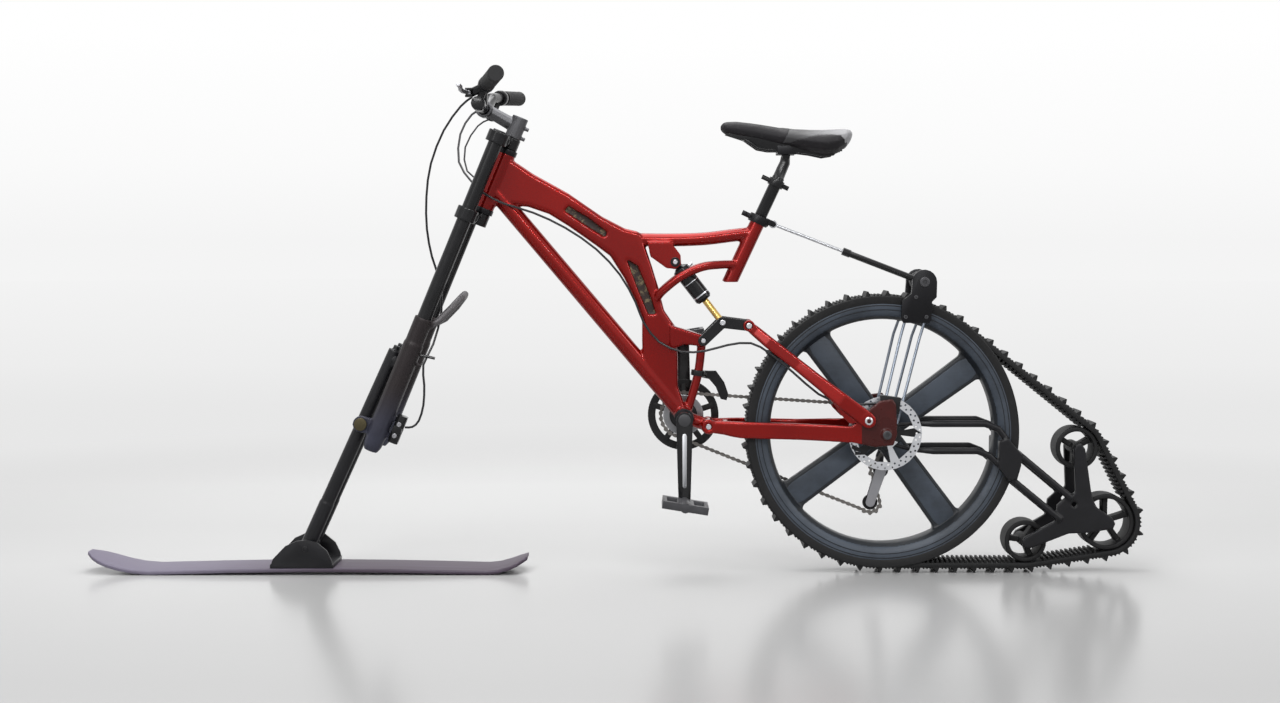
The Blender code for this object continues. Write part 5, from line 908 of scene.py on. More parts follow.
def main_frame():
    """The welded frame, as one skin with soft weld seams."""
    beam = plate("beam", BEAM, -BEAM_HALF_WIDTH, BEAM_HALF_WIDTH, 0.009, 5)
    for outline in (SLOT, WINDOW):
        for low, high in ((RECESS_FLOOR, 0.03), (-0.03, -RECESS_FLOOR)):
            cut_with(beam, plate("recess", outline, low, high))
    parts = [beam,
             tube("head_tube", [fork_point(up, STEERING_OFFSET) for up in (0.2007, 0.3333)], 0.0219, 10),
             tube("down_tube", [at((-0.270, 0.839)), at((0.143, 0.351))], 0.0189, 8),
             tube("seat_tube", [seat_point(-0.165), seat_point(0)], 0.0167, 8),
             tube("upper_brace", smooth_route([at(place) for place in UPPER_BRACE], 5), 0.0145, 6)]
    for _, side in SIDES:
        route = [at((x, z), side * out) for x, z, out in LOWER_BRACE]
        parts.append(tube("lower_brace", smooth_route(route, 5), 0.0094, 5))
    parts.append(tube("rear_strut", smooth_route([at(place) for place in REAR_STRUT], 5), 0.0099, 5))
    for low, high in ((-0.0180, -0.0120), (0.0120, 0.0180)):
        parts.append(plate("shock_lug", SHOCK_LUG, low, high, 0.001))
    parts += [across_bar("lug_bridge", (0.096, 0.706), 0.013, -0.017, 0.017),
              plate("rocker_lug", ROCKER_LUG, -0.0220, 0.0220, 0.001),
              across_bar("bracket_shell", CRANK_AXLE, 0.0213, -0.0339, 0.0339, 48),
              tube("pivot_lug", [at(CRANK_AXLE), at(SWINGARM_PIVOT)], 0.0145, 6),
              across_bar("pivot_boss", SWINGARM_PIVOT, 0.0153, -0.0240, 0.0240)]
    skin = weld(join("main_frame_skin", parts))
    cut_with(skin, plate("rocker_space", ROCKER_SPACE, -0.04, 0.04))
    finish(skin, "candy", "frame", ("main_frame",), 40)
    # Painted shade: the floors of the slot and the window take the dark pocket finish
    paint_where(skin, "pocket", lambda place, normal: abs(place.y) < 0.0125 and abs(normal.y) > 0.6
                and (inside(place, SLOT) or inside(place, WINDOW)))
    pins = [across_bar("pin", place, radius, -half, half) for place, radius, half in (
        (SHOCK_UPPER_EYE, 0.0040, 0.0165), (ROCKER_FRAME_PIVOT, 0.0050, 0.0310),
        (SWINGARM_PIVOT, 0.0060, 0.0415))]
    pins += bolt_pairs([SHOCK_UPPER_EYE], 0.0196, 0.0055, 0.0035)
    finish(join("frame_pins", pins), "steel", "frame")
    caps = [across_bar("cap", SHOCK_UPPER_EYE, 0.0105, *sorted((side * 0.0176, side * 0.0200)), 36)
            for _, side in SIDES]
    finish(join("shock_bolt_caps", caps), "gloss", "frame")


def frame_fittings():
    """Headset cups, bracket cartridge, seat clamp and front derailleur."""
    for node in ("headset_lower", "headset_upper", "bottom_bracket", "seat_clamp"):
        dress(node, "anodised", "frame", "satin_black")
    dress("front_derailleur_body", "gloss", "frame", "satin_black")
    dress("front_derailleur_cage", "gloss", "front_cage", "grey_aluminium", rounding=0.0003, segments=1)


# Fork and ski
def fork():
    """Crowns, stanchions, lower legs, axle, hose clip and caliper."""
    for node in ("lower_crown", "upper_crown"):
        dress(node, "gloss", "fork", "satin_black", soft_copy, voxel=0.0015, passes=4)
    for name, side in SIDES:
        node = "stanchion_" + name
        low, high = ((corner.z - STANCHION_FOOT[1]) / FORK_UP.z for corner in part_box(node))
        inset = 0.0159 * FORK_BACK.z / FORK_UP.z
        span = high - low + 2 * inset
        profile = [(0, 0), (0.0150, 0), (STANCHION_RADIUS, 0.001), (STANCHION_RADIUS, span - 0.002),
                   (0.0140, span), (0, span)]
        leg = turned(node + "_fine", profile, fork_point(low - inset, 0, side * STANCHION_SIDE), FORK_UP)
        finish(leg, "gloss", "fork", (node,))
    dress("fork_lowers", "fork", "fork_lower", "fork_brown_grey", soft_copy, voxel=0.0020, passes=7)
    dress("front_axle", "olive", "fork_lower", "bright_steel", rounding=0.0010, segments=3)
    clip = [at(place, -STANCHION_SIDE) for place in ((-0.4330, 0.4790), (-0.4090, 0.4745), (-0.3900, 0.4700))]
    finish(tube("hose_clips", clip, 0.0032, 3), "gloss", "fork_lower")
    dress("front_caliper", "gloss", "fork_lower", "satin_black", rounding=0.0022, segments=3)
    low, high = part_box("front_caliper")
    middle = (low + high) / 2
    middle.y = low.y + 0.0004
    bolts = [hex_bolt(middle + FORK_UP * up, -ACROSS, 0.0052, 0.0030) for up in (-0.013, 0.013)]
    finish(join("caliper_bolts", bolts), "aluminium", "fork_lower")


def ski_struts():
    """The pair of struts that carry the ski."""
    dress("ski_struts", "powder", "fork_lower", "satin_black", soft_copy, voxel=0.0017, passes=7)


def ski_and_bracket():
    """The ski with its rounded edges, and the humped bracket on it."""
    ski = round_edges(copy_node("ski", "ski_fine"), 0.0012, 2, 25)
    finish(ski, "ski", "ski_unit", ("ski",), 50)
    dress("ski_mount", "powder", "ski_unit", "satin_black", rounding=0.0012)


# Cockpit
def cockpit():
    """Stem, bar, grips, lever perches and levers."""
    dress("stem", "stem", "fork", "grey_aluminium", soft_copy, voxel=0.0011)
    half = [at(BAR_CENTRE, 0.030), at((-0.2885, 1.0165), 0.048), at((-0.2845, 1.0350), 0.092),
            at((-0.2820, 1.0455), 0.112), at(BAR_BEND, BAR_BEND_SIDE), at(BAR_END, BAR_END_SIDE)]
    route = [Vector((p.x, -p.y, p.z)) for p in reversed(half)] + half
    handlebar = tube("handlebar_fine", smooth_route(route, 6), 0.01165, 6)
    finish(handlebar, "gloss", "fork", ("handlebar",))
    for name, side in SIDES:
        grip(name, side)
        dress("brake_perch_" + name, "gloss", "fork", "satin_black", rounding=0.0010)
        dress("brake_lever_" + name, "aluminium", "lever_" + name, "grey_aluminium", rounding=0.0016,
              segments=3)


def grip(name, side):
    """A rubber grip with ribs round it and a flange at each end."""
    bend, tip = at(BAR_BEND, side * BAR_BEND_SIDE), at(BAR_END, side * BAR_END_SIDE)
    start, end = bend.lerp(tip, 0.38), bend.lerp(tip, 1.01)
    length = (end - start).length
    bore, flange, core = 0.0121, 0.0170, 0.0160
    profile = [(bore, 0), (0.0165, 0), (flange, 0.0012), (flange, 0.005), (core, 0.0068)]
    ribs = sizes().grip_ribs
    pitch = (length - 0.018) / ribs
    for number in range(ribs):
        foot = 0.008 + number * pitch
        profile += [(0.0158, foot), (0.0168, foot + pitch * 0.22), (0.0168, foot + pitch * 0.68),
                    (0.0158, foot + pitch * 0.90)]
    profile += [(core, length - 0.0068), (flange, length - 0.005), (flange, length - 0.0012), (core, length),
                (0.0, length), (0.0, length - 0.0015), (bore, length - 0.0015)]
    sleeve = turned("grip_" + name + "_fine", profile, start, end - start, 40, True)
    finish(sleeve, "grip", "fork", ("grip_" + name,))


# Saddle
SKIRT = [(0.240, 0.9575), (0.280, 0.9450), (0.300, 0.9330), (0.318, 0.9262), (0.338, 0.9232),
         (0.358, 0.9225), (0.395, 0.9170), (0.428, 0.9130), (0.457, 0.9070), (0.478, 0.9105),
         (0.495, 0.9300), (0.470, 0.9450), (0.388, 0.9500), (0.318, 0.9600), (0.262, 0.9640)]
SKIRT_SIDE = 0.0100
SKIRT_SPLAY = 0.105
WING = ((0.360, 0.926), (0.372, 0.932), (0.388, 0.938), (0.410, 0.947), (0.440, 0.9545), (0.470, 0.9555),
        (0.489, 0.9530), (0.497, 0.944), (0.502, 0.920), (0.530, 0.900))
PANEL_FRONT = 0.372
SWELL_FRAMES = 20
# What the cloth solver is told of the saddle's cover
COVER = {"quality": 5, "mass": 0.2, "vertex_group_mass": "held", "use_pressure": True,
         "tension_stiffness": 30, "compression_stiffness": 30, "bending_stiffness": 6}


def wing_edge(x):
    """The height of the seam above the saddle's black wings."""
    for (x1, z1), (x2, z2) in zip(WING, WING[1:]):
        if x <= x2:
            return z1 + (z2 - z1) * max(0.0, x - x1) / (x2 - x1)
    return WING[-1][1]


def behind_panel_front(place):
    """How far a place lies behind the slanted front edge of the grey panel."""
    return place.x - PANEL_FRONT - (place.z - 0.950) * 0.5


def swell(cushion, most):
    """Swell the cover with air, while its underside is held. No point moves further than a limit."""
    before = [vertex.co.copy() for vertex in cushion.data.vertices]
    held = cushion.vertex_groups.new(name="held")
    held.add([vertex.index for vertex in cushion.data.vertices if vertex.normal.z < -0.35], 1.0, "REPLACE")
    work_on(cushion)
    cloth = cushion.modifiers.new("cover", "CLOTH")
    for name, value in COVER.items():
        setattr(cloth.settings, name, value)
    cloth.settings.uniform_pressure_force = sizes().saddle_swell
    cloth.settings.effector_weights.gravity = 0
    cloth.point_cache.frame_start = 1
    cloth.point_cache.frame_end = SWELL_FRAMES
    for number in range(1, SWELL_FRAMES + 1):
        bpy.context.scene.frame_set(number)
    bpy.ops.object.modifier_apply(modifier=cloth.name)
    bpy.context.scene.frame_set(1)
    for vertex, place in zip(cushion.data.vertices, before):
        step = vertex.co - place
        if step.length > most:
            vertex.co = place + step.normalized() * most
    cushion.vertex_groups.clear()


def press_seams(cushion):
    """Press the seams round the grey panel, and a shallow channel along the top."""
    def groove(off, width, depth):
        return math.exp(-(off / width) ** 2) * depth

    for vertex in cushion.data.vertices:
        x, y, z = vertex.co
        seam = 0.0
        if PANEL_FRONT < x < 0.497:
            seam = groove(z - wing_edge(x), 0.0012, 0.0009)
        if z > wing_edge(x):
            seam = max(seam, groove(behind_panel_front(vertex.co), 0.0013, 0.0009))
        if vertex.normal.z > 0.5 and 0.30 < x < 0.47:
            seam = max(seam, groove(y, 0.0055, 0.0022 * math.sin(math.pi * (x - 0.30) / 0.17)))
        vertex.co -= vertex.normal * seam


def saddle():
    """The saddle's cushion, skirts, rails, clamp and post."""
    cushion = weld(copy_node("saddle", "saddle_fine"), 0.0035)
    swell(cushion, 0.0040)
    apply_modifier(cushion, "SUBSURF", levels=1, render_levels=1)
    press_seams(cushion)
    finish(cushion, "saddle", "saddle_unit", ("saddle",), 60)
    paint_where(cushion, "panel", lambda place, normal: behind_panel_front(place) > 0
                and place.z > wing_edge(place.x) and normal.z > -0.6)
    skirts = []
    for _, side in SIDES:
        skirt = plate("skirt", SKIRT, *sorted((side * SKIRT_SIDE, side * 0.0135)), 0.0008, 2)
        with editing(skirt):
            bpy.ops.transform.rotate(value=side * -SKIRT_SPLAY, orient_axis="Z",
                                     center_override=at(SKIRT[0], side * SKIRT_SIDE))
        skirts.append(skirt)
    finish(join("saddle_base_skirts", skirts), "gloss", "saddle_unit")
    dress("saddle_rails", "gloss", "saddle_unit", "bright_steel", soft_copy, voxel=0.0009, passes=3)
    dress("saddle_clamp", "anodised", "saddle_unit", "satin_black", rounding=0.0010)
    post = dress("seat_post", "gloss", "post", "satin_black")
    paint_where(post, "post", lambda place, normal: 0.784 < place.z < 0.838)


# Rear suspension
GUSSET = [(0.437, 0.428), (0.452, 0.416), (0.500, 0.380), (0.538, 0.350), (0.546, 0.334), (0.505, 0.3305),
          (0.486, 0.350), (0.462, 0.385)]


def swingarm():
    """Chain stays, seat stays, rocker and the rear caliper."""
    stays = dress("chain_stays", "candy", "swingarm", "candy_red", soft_copy, voxel=0.0017, passes=12)
    paint_where(stays, "brown", lambda place, normal: place.x > 0.531 and abs(place.y) > 0.075)
    parts = [copy_node("seat_stays", "seat_stays_fine")]
    for _, side in SIDES:
        gusset = plate("gusset", GUSSET, -0.0028, 0.0028, 0.001)
        for vertex in gusset.data.vertices:
            vertex.co.y += side * (0.0800 + (vertex.co.x - 0.445) * 0.166)
        parts.append(gusset)
    upper = weld(join("seat_stays_fine", parts), 0.0016, 12)
    finish(upper, "candy", "stays", ("seat_stays",))
    bolts = bolt_pairs([DROPOUT_PIVOT], node_face("seat_stays"), 0.0085, 0.0032)
    finish(join("stay_bolts", bolts), "steel", "stays")
    bolts = bolt_pairs([REAR_AXLE], node_face("chain_stays"), 0.0095, 0.0030)
    finish(join("axle_bolts", bolts), "graphite", "swingarm")
    dress("rocker_link", "gloss", "rocker", "satin_black", soft_copy, voxel=0.0009, passes=8)
    bolts = bolt_pairs([SHOCK_LOWER_EYE, ROCKER_STAY_PIVOT], node_face("rocker_link"), 0.0062, 0.0028)
    finish(join("rocker_bolts", bolts), "steel", "rocker")
    dress("rear_caliper", "gloss", "swingarm", "satin_black", rounding=0.0015)


def shock():
    """The shock's body with its rings and valve, and its plated shaft."""
    upper = at(SHOCK_UPPER_EYE)
    along = (at(SHOCK_LOWER_EYE) - upper).normalized()
    eye = [(0.0046, -0.0114), (0.0104, -0.0114), (0.0110, -0.0108), (0.0110, 0.0108), (0.0104, 0.0114),
           (0.0046, 0.0114)]
    can = [(0, 0.0140), (0.0105, 0.0140), (0.0130, 0.0160), (0.0184, 0.0195), (0.0190, 0.0215),
           (0.0190, 0.0300), (0.0178, 0.0310), (0.0178, 0.0340), (0.0188, 0.0350), (0.0188, 0.0900),
           (0.0176, 0.0910), (0.0176, 0.0930), (0.0190, 0.0940), (0.0190, 0.1010), (0.0165, 0.1040),
           (0.0150, 0.1060), (0.0082, 0.1060), (0.0082, 0.0300), (0, 0.0300)]
    body = [turned("eye", eye, upper, ACROSS, 32, True), turned("can", can, upper, along, 56),
            tube("neck", [upper + along * 0.0090, upper + along * 0.0200], 0.0086, 6)]
    finish(join("shock_body_fine", body), "gloss", "shock_top", ("shock_body",))
    rings = [turned("ring", ring_profile(0.0172, 0.0193, low, high), upper, along, 56, True)
             for low, high in ((0.0306, 0.0344), (0.0560, 0.0575), (0.0905, 0.0935))]
    valve = turned("valve", [(0, 0), (0.0036, 0), (0.0036, 0.008), (0.0028, 0.0095), (0, 0.0095)],
                   upper + along * 0.026 + Vector((0.0145, 0, 0.0125)), (0.76, 0, 0.65), 20)
    finish(join("shock_rings", rings + [valve]), "steel", "shock_top")
    dress("shock_shaft", "gold", "shock_lower", "gold_shaft", rounding=0.0006)


# Wheel and track
def drive_wheel():
    """The moulded wheel with four blades, its black bead rings, thin black rings on the rim's faces that paint
    the shade of its grooves, and its metal hub.
    """
    def wheel_ring(name, profile, sides):
        return turned(name, profile, at(REAR_AXLE), ACROSS, sides, True)

    rim = [(RIM_RADIUS, 0.0352), (0.2800, 0.0378), (0.2680, 0.0372), (0.2600, 0.0345), (0.2535, 0.0310),
           (0.2500, 0.0250), (0.2455, 0.0180), (0.2445, 0.0090)]
    parts = [wheel_ring("rim", both_halves(rim), 120),
             across_bar("hub", REAR_AXLE, 0.0362, -0.0378, 0.0378, 48, 0.003)]
    panels = []
    for number in range(4):
        angle = math.radians(36 + 90 * number)
        parts.append(plate("blade", blade(REAR_AXLE, 0.015, 0.2520, 0.056, 0.064, angle, 0.014),
                           -0.0120, 0.0120, 0.003, 3))
        panels.append(plate("panel", blade(REAR_AXLE, 0.044, 0.2440, 0.040, 0.048, angle, -0.004),
                            -0.0132, 0.0132, 0.0012, 3))
    wheel = weld(join("wheel_moulding", parts), 0.0027)
    finish(wheel, "slate", "wheel", ("drive_wheel",), 50)
    # Painted shade: every side wall, and all of the moulding inside the rim round the lighter raised panels, take
    # the near-black copy of the slate
    paint_where(wheel, "slate_dark", lambda place, normal: apart(place, REAR_AXLE) < 0.2525
                or abs(normal.y) < 0.35)
    finish(join("wheel_blade_panels", panels), "slate", "wheel")
    # Painted shade: the two thin black rings on each face of the rim stand in for the shade in its grooves; the
    # bead after them is the rim's real black edge
    edges = [("line", [(radius, 0.030), (radius + width, 0.030), (radius + width * 0.9, height),
                       (radius + width * 0.1, height)])
             for radius, width, height in ((0.2655, 0.0014, 0.0376), (0.2745, 0.0020, 0.0381))]
    edges.append(("bead", [(0.2790, 0.0374), (0.2810, 0.0384), (0.2950, 0.0383), (0.2969, 0.0370),
                           (0.2969, 0.0354), (0.2862, 0.0353)]))
    rings = [wheel_ring(name, [(radius, side * along) for radius, along in edge], 144)
             for name, edge in edges for _, side in SIDES]
    finish(join("wheel_beads", rings), "rubber", "wheel")
    neck = [(0.0072, -0.0828), (0.0120, -0.0828), (0.0120, -0.0650), (0.0298, -0.0650), (0.0298, -0.0622),
            (0.0218, -0.0600), (0.0218, -0.0370), (0.0072, -0.0370)]
    barrel = [wheel_ring("neck", neck, 48),
              wheel_ring("seat", ring_profile(0.0072, 0.0218, 0.0370, 0.0603), 48)]
    finish(join("wheel_hub", barrel), "anodised", "wheel")


def rotor():
    """The brake disc: a drilled band on five arms."""
    disc = copy_node("brake_rotor", "brake_rotor_fine")
    holes = []
    for number in range(30):
        for row, shift in ((0.0685, 0.0), (0.0755, 0.5)):
            place = round_place(REAR_AXLE, row, math.tau * (number + shift) / 30)
            holes.append(across_bar("hole", place, 0.0023, -0.072, -0.062, 8, 0.0001))
    cut_with(disc, join("holes", holes))
    finish(disc, "rotor", "wheel", ("brake_rotor",))
    paint_where(disc, "gloss", lambda place, normal: apart(place, REAR_AXLE) < 0.0615)


LUG_PITCH = 0.0103
LUG_HEIGHT = 0.0060
# The small wheels in the track: node, body, place, radius, number of arms and the first arm's angle
TRACK_WHEELS = (("upper_idler", "idler_top", UPPER_IDLER, UPPER_IDLER_RADIUS, 3, 0.5),
                ("lower_idler", "idler_low", LOWER_IDLER, LOWER_IDLER_RADIUS, 3, 0.9),
                ("tail_wheel", "idler_tail", TAIL_WHEEL, TAIL_WHEEL_RADIUS, 5, 0.3))


def track_circles():
    """The place and radius of each wheel in the order that the belt meets them, the upper idler last."""
    upper, *others = (row[2:4] for row in TRACK_WHEELS)
    return [(REAR_AXLE, RIM_RADIUS)] + others + [upper]


def free_runs(loop, height, clearance=0.0015):
    """Distances along the track's straight runs at which an inner lug clears the wheels."""
    distances = []
    for start, span, piece in loop.pieces:
        if loop.is_run(piece):
            count = round(span / LUG_PITCH)
            for number in range(count):
                distance = start + span * (number + 0.5) / count
                foot, heading = loop.place(distance)
                tip = round_place(foot, height, heading + math.pi / 2)
                if all(math.dist(tip, centre) > radius + clearance for centre, radius in track_circles()):
                    distances.append(distance)
    return distances


def track_belt():
    """The rubber track: a band with pointed cleats, small serrations outside and ribs inside."""
    loop = WheelLoop([(place, radius + BELT_GAP, 1) for place, radius in track_circles()])
    steps = 620
    points = [at(loop.place(loop.length * step / steps)[0], -BELT_HALF_WIDTH) for step in range(steps)]
    band = draw_line("track_band", points + [points[0]])
    with editing(band):
        bpy.ops.mesh.remove_doubles(threshold=0.00001)
        bpy.ops.mesh.extrude_edges_move(TRANSFORM_OT_translate={"value": (0, 2 * BELT_HALF_WIDTH, 0)})
        bpy.ops.mesh.select_all(action="SELECT")
        bpy.ops.mesh.normals_make_consistent(inside=False)
    apply_modifier(band, "SOLIDIFY", thickness=BELT_THICKNESS - 0.0008, offset=1.0)
    tidy_normals(band)
    round_edges(band, 0.0022, 2, 50)
    path_height = LOWER_IDLER[1] - (LOWER_IDLER_RADIUS + BELT_GAP)
    outer = path_height - min(vertex.co.z for vertex in band.data.vertices)
    cleats = round(loop.length / sizes().cleat_pitch)
    pitch = loop.length / cleats
    half = BELT_HALF_WIDTH - 0.0004
    base = sizes().cleat_base / 2
    tall = sizes().cleat_height
    parts = [band]

    def add_rows(name, outline, half, distances, rounding=0.0):
        pattern = plate("pattern", outline, -half, half, rounding, 1)
        parts.append(scatter(pattern, name, [loop_matrix(loop, distance) for distance in distances]))

    cleat = [(-base, 0.0010), (base, 0.0010), (base * 0.80, -tall * 0.30), (base * 0.42, -tall * 0.72),
             (0.0014, -tall), (-0.0014, -tall), (-base * 0.42, -tall * 0.72), (-base * 0.80, -tall * 0.30)]
    rib = [(-0.0026, 0.0008), (0.0026, 0.0008), (0.0012, -0.0024), (-0.0012, -0.0024)]
    lug = [(-0.0028, -0.0004), (0.0028, -0.0004), (0.0020, LUG_HEIGHT), (-0.0020, LUG_HEIGHT)]
    add_rows("track_cleats", [(x, z - outer) for x, z in cleat], half,
             [(number + 0.5) * pitch for number in range(cleats)], 0.0005)
    add_rows("track_ribs", [(x, z - outer) for x, z in rib], half * 0.96,
             [(number + share) * pitch for number in range(cleats) for share in (-0.18, 0.0, 0.18)])
    add_rows("track_lugs", lug, half * 0.95, free_runs(loop, LUG_HEIGHT + 0.0004))
    finish(join("track_belt_fine", parts), "rubber", "track_frame", ("track_belt",), 28)


def track_wheels():
    """The three small wheels that guide the track."""
    for node, body, centre, radius, arms, first in TRACK_WHEELS:
        tyre = [(radius - 0.0004, 0.0268), (radius - 0.0018, 0.0298), (radius - 0.0090, 0.0298),
                (radius - 0.0105, 0.0280), (radius - 0.0110, 0.0090)]
        parts = [turned("tyre", both_halves(tyre), at(centre), ACROSS, 72, True),
                 across_bar("hub", centre, 0.0133, -0.0355, 0.0355, 32, 0.001)]
        for number in range(arms):
            outline = blade(centre, 0.004, radius - 0.0085, 0.011, 0.012, first + math.tau * number / arms, 0.004)
            parts.append(plate("arm", outline, -0.0148, 0.0148, 0.0015, 2))
        wheel = weld(join(node + "_fine", parts), 0.0014)
        finish(wheel, "rubber", body, (node,), 45)


def track_arms():
    """The welded arms behind the wheel."""
    dress("track_arms", "powder", "track_frame", "satin_black", soft_copy, voxel=0.0020)


def torque_arm():
    """The bridge over the track with its thin legs, and the telescopic rod."""
    arm = dress("torque_arm", "anodised", "track_frame", "satin_black")
    paint_where(arm, "leg", lambda place, normal: REAR_AXLE[1] + 0.034 < place.z < TORQUE_BOSS[1] - 0.0890)
    small = [(TORQUE_BOSS[0] + x, TORQUE_BOSS[1] + z)
             for x, z in ((-0.0415, -0.0760), (0.0035, -0.0760), (-0.0190, -0.0330))]
    bolts = bolt_pairs([TORQUE_BOSS], 0.0524, 0.0110, 0.0040) + bolt_pairs(small, 0.0524, 0.0045, 0.0030)
    finish(join("torque_arm_bolts", bolts), "graphite", "track_frame")
    dress("rod_inner", "rod", "rod_front", "bright_steel", rounding=0.0004, segments=1)
    dress("rod_tube", "gloss", "rod_rear", "satin_black", rounding=0.0006)


# Drive
def cranks():
    """Crank arms with their caps and with light metal strips laid on them as a painted highlight, chainrings and
    pedals.
    """
    slot_highlights, caps = [], []
    for name, out in SIDES:
        dress("crank_" + name, "gloss", "cranks", "satin_black", rounding=0.0022, segments=3)
        ends = [(CRANK_AXLE[0] + off, CRANK_AXLE[1] + out * reach) for off, reach in (
            (-0.0052, 0.034), (-0.0030, 0.029), (0.0030, 0.029), (0.0052, 0.034), (0.0042, 0.142),
            (0.0024, 0.146), (-0.0024, 0.146), (-0.0042, 0.142))]
        # Painted highlight: a light metal strip along each crank's face stands in for the highlight in the
        # crank's slot
        slot_highlights.append(plate("inlay", ends, *sorted((out * 0.0800, out * 0.0824)), 0.0006, 2))
        cap = [(0, 0.0800), (0.0135, 0.0800), (0.0135, 0.0826), (0.0115, 0.0838), (0, 0.0838)]
        caps.append(turned("cap", [(radius, out * along) for radius, along in cap], at(CRANK_AXLE), ACROSS, 40))
    finish(join("crank_inlays", slot_highlights), "inlay", "cranks")
    finish(join("crank_caps", caps), "graphite", "cranks")
    large = toothed("chainring_large_fine", CRANK_AXLE, 0.062, 0.0768, 0.0546, 0.0574, 38)
    finish(large, "gloss", "cranks", ("chainring_large",))
    small = toothed("chainring_small_fine", CRANK_AXLE, 0.031, 0.0428, 0.0451, 0.0479, 22)
    finish(small, "ring", "cranks", ("chainring_small",))
    for node, body in (("pedal_left", "pedal_near"), ("pedal_right", "pedal_far")):
        dress(node, "graphite", body, "grey_aluminium", rounding=0.0012)


# Where the chain leaves the small chainring and meets the cassette, and its place across the bike there
CHAIN_RUN = ((0.260, 0.0465), (0.524, 0.0663))
CHAIN_BEND = ("frame", "swingarm", (0.195, 0, 0.335), (0.500, 0, 0.335))


def chain_side(x):
    """The chain's place across the bike, from the small chainring to the cassette."""
    (x1, side1), (x2, side2) = CHAIN_RUN
    return side1 + (side2 - side1) * min(1.0, max(0.0, (x - x1) / (x2 - x1)))


def chain():
    """The chain, link by link: outer and inner plate pairs on rollers."""
    gap = 0.0045
    loop = WheelLoop([(CRANK_AXLE, 0.045 + gap, -1), (REAR_AXLE, 0.043 + gap, -1),
                      (GUIDE_PULLEY, 0.017 + gap, 1), (TENSION_PULLEY, 0.017 + gap, -1)])
    count = 2 * round(loop.length / sizes().chain_pitch / 2)
    pitch = loop.length / count
    upper = [(-0.0038, 0.0016), (-0.0022, 0.0038), (0.0022, 0.0038), (pitch / 2, 0.0022),
             (pitch - 0.0022, 0.0038), (pitch + 0.0022, 0.0038), (pitch + 0.0038, 0.0016)]
    waist = both_halves(upper)
    for first, name, inner, outer in ((0, "outer_link", 0.0021, 0.0029), (1, "inner_link", 0.0011, 0.0019)):
        pair = [plate("side", waist, inner, outer), plate("side", waist, -outer, -inner),
                across_bar("roller", (0, 0), 0.0030, -0.0020, 0.0020, 8, 0.0002)]
        distances = [number * pitch for number in range(first, count, 2)]
        spots = [loop_matrix(loop, distance, chain_side(loop.place(distance)[0][0])) for distance in distances]
        links = scatter(join(name, pair), name + "s", spots)
        finish(links, "chain", CHAIN_BEND, ("chain",) if first == 0 else ())


def cassette_and_changer():
    """The cogs, the rear derailleur and its pulleys."""
    cogs = []
    for number, radius in enumerate((0.050, 0.043, 0.036, 0.029, 0.022)):
        low = 0.0612 + number * 0.0043
        cogs.append(toothed("cog", REAR_AXLE, 0.0160, radius - 0.0022, low, low + 0.0016,
                            round(math.tau * radius / 0.0127)))
    cogs.append(turned("core", ring_profile(0.0075, 0.0175, 0.0613, 0.0795), at(REAR_AXLE), ACROSS, 40, True))
    finish(join("cassette_fine", cogs), "cogs", "cogs", ("cassette",))
    dress("derailleur_body", "graphite", "swingarm", "satin_black", rounding=0.0015)
    dress("derailleur_cage", "aluminium", "cage", "grey_aluminium", rounding=0.0004, segments=1)
    for node, place, body in (("guide_pulley", GUIDE_PULLEY, "pulley_guide"),
                              ("tension_pulley", TENSION_PULLEY, "pulley_tension")):
        wheel = toothed(node + "_fine", place, 0.0045, 0.0150, 0.0650, 0.0676, 11)
        finish(wheel, "rubber", body, (node,))


# Where the rear brake hose, which crosses two joints, is parted into a piece for each
HOSE_SPLIT = (-0.070, 0, 0)


def hoses():
    """The two brake hoses and the shift cable, each given the two bodies that it joins, though it hangs on
    neither and does not bend.
    """
    dress("front_brake_hose", "cable", ("fork", "fork_lower", (-0.385, 0, 0.700), (-0.405, 0, 0.470)),
          "black_rubber", copy_node)
    dress("shift_cable", "cable", ("fork", "frame", (-0.335, 0.06, 0.900), (-0.260, 0.03, 0.830)),
          "black_rubber", copy_node)
    for name, in_front, bend, nodes in (
            ("rear", False, ("frame", "swingarm", (0.200, 0, 0.485), (0.420, 0, 0.420)), ()),
            ("front", True, ("fork", "frame", (-0.345, 0, 0.900), (-0.270, 0, 0.820)), ("rear_brake_hose",))):
        part = copy_node("rear_brake_hose", "rear_brake_hose_" + name)
        with editing(part):
            bpy.ops.mesh.bisect(plane_co=HOSE_SPLIT, plane_no=(1, 0, 0), use_fill=True,
                                clear_outer=in_front, clear_inner=not in_front)
        finish(part, "cable", bend, nodes)


# Stage
# Greys of the floor as light falls on it, and of the backdrop that the camera sees, by depth or height
NEAR_TONES = ((0.064, 0.361), (0.168, 0.384), (0.293, 0.423), (0.45, 0.489), (0.652, 0.507), (0.918, 0.601))
FAR_TONES = ((0.0, 0.630), (0.017, 0.665), (0.044, 0.716), (0.067, 0.738), (0.0945, 0.768), (0.132, 0.799),
             (0.19, 0.807), (0.283, 0.847), (0.463, 0.871), (0.70, 0.885), (1.0, 0.896))
BACKDROP_TONES = ((0.0, 0.905), (0.0195, 0.930), (0.0417, 0.958), (0.064, 0.973), (0.086, 0.985), (0.108, 1.0))


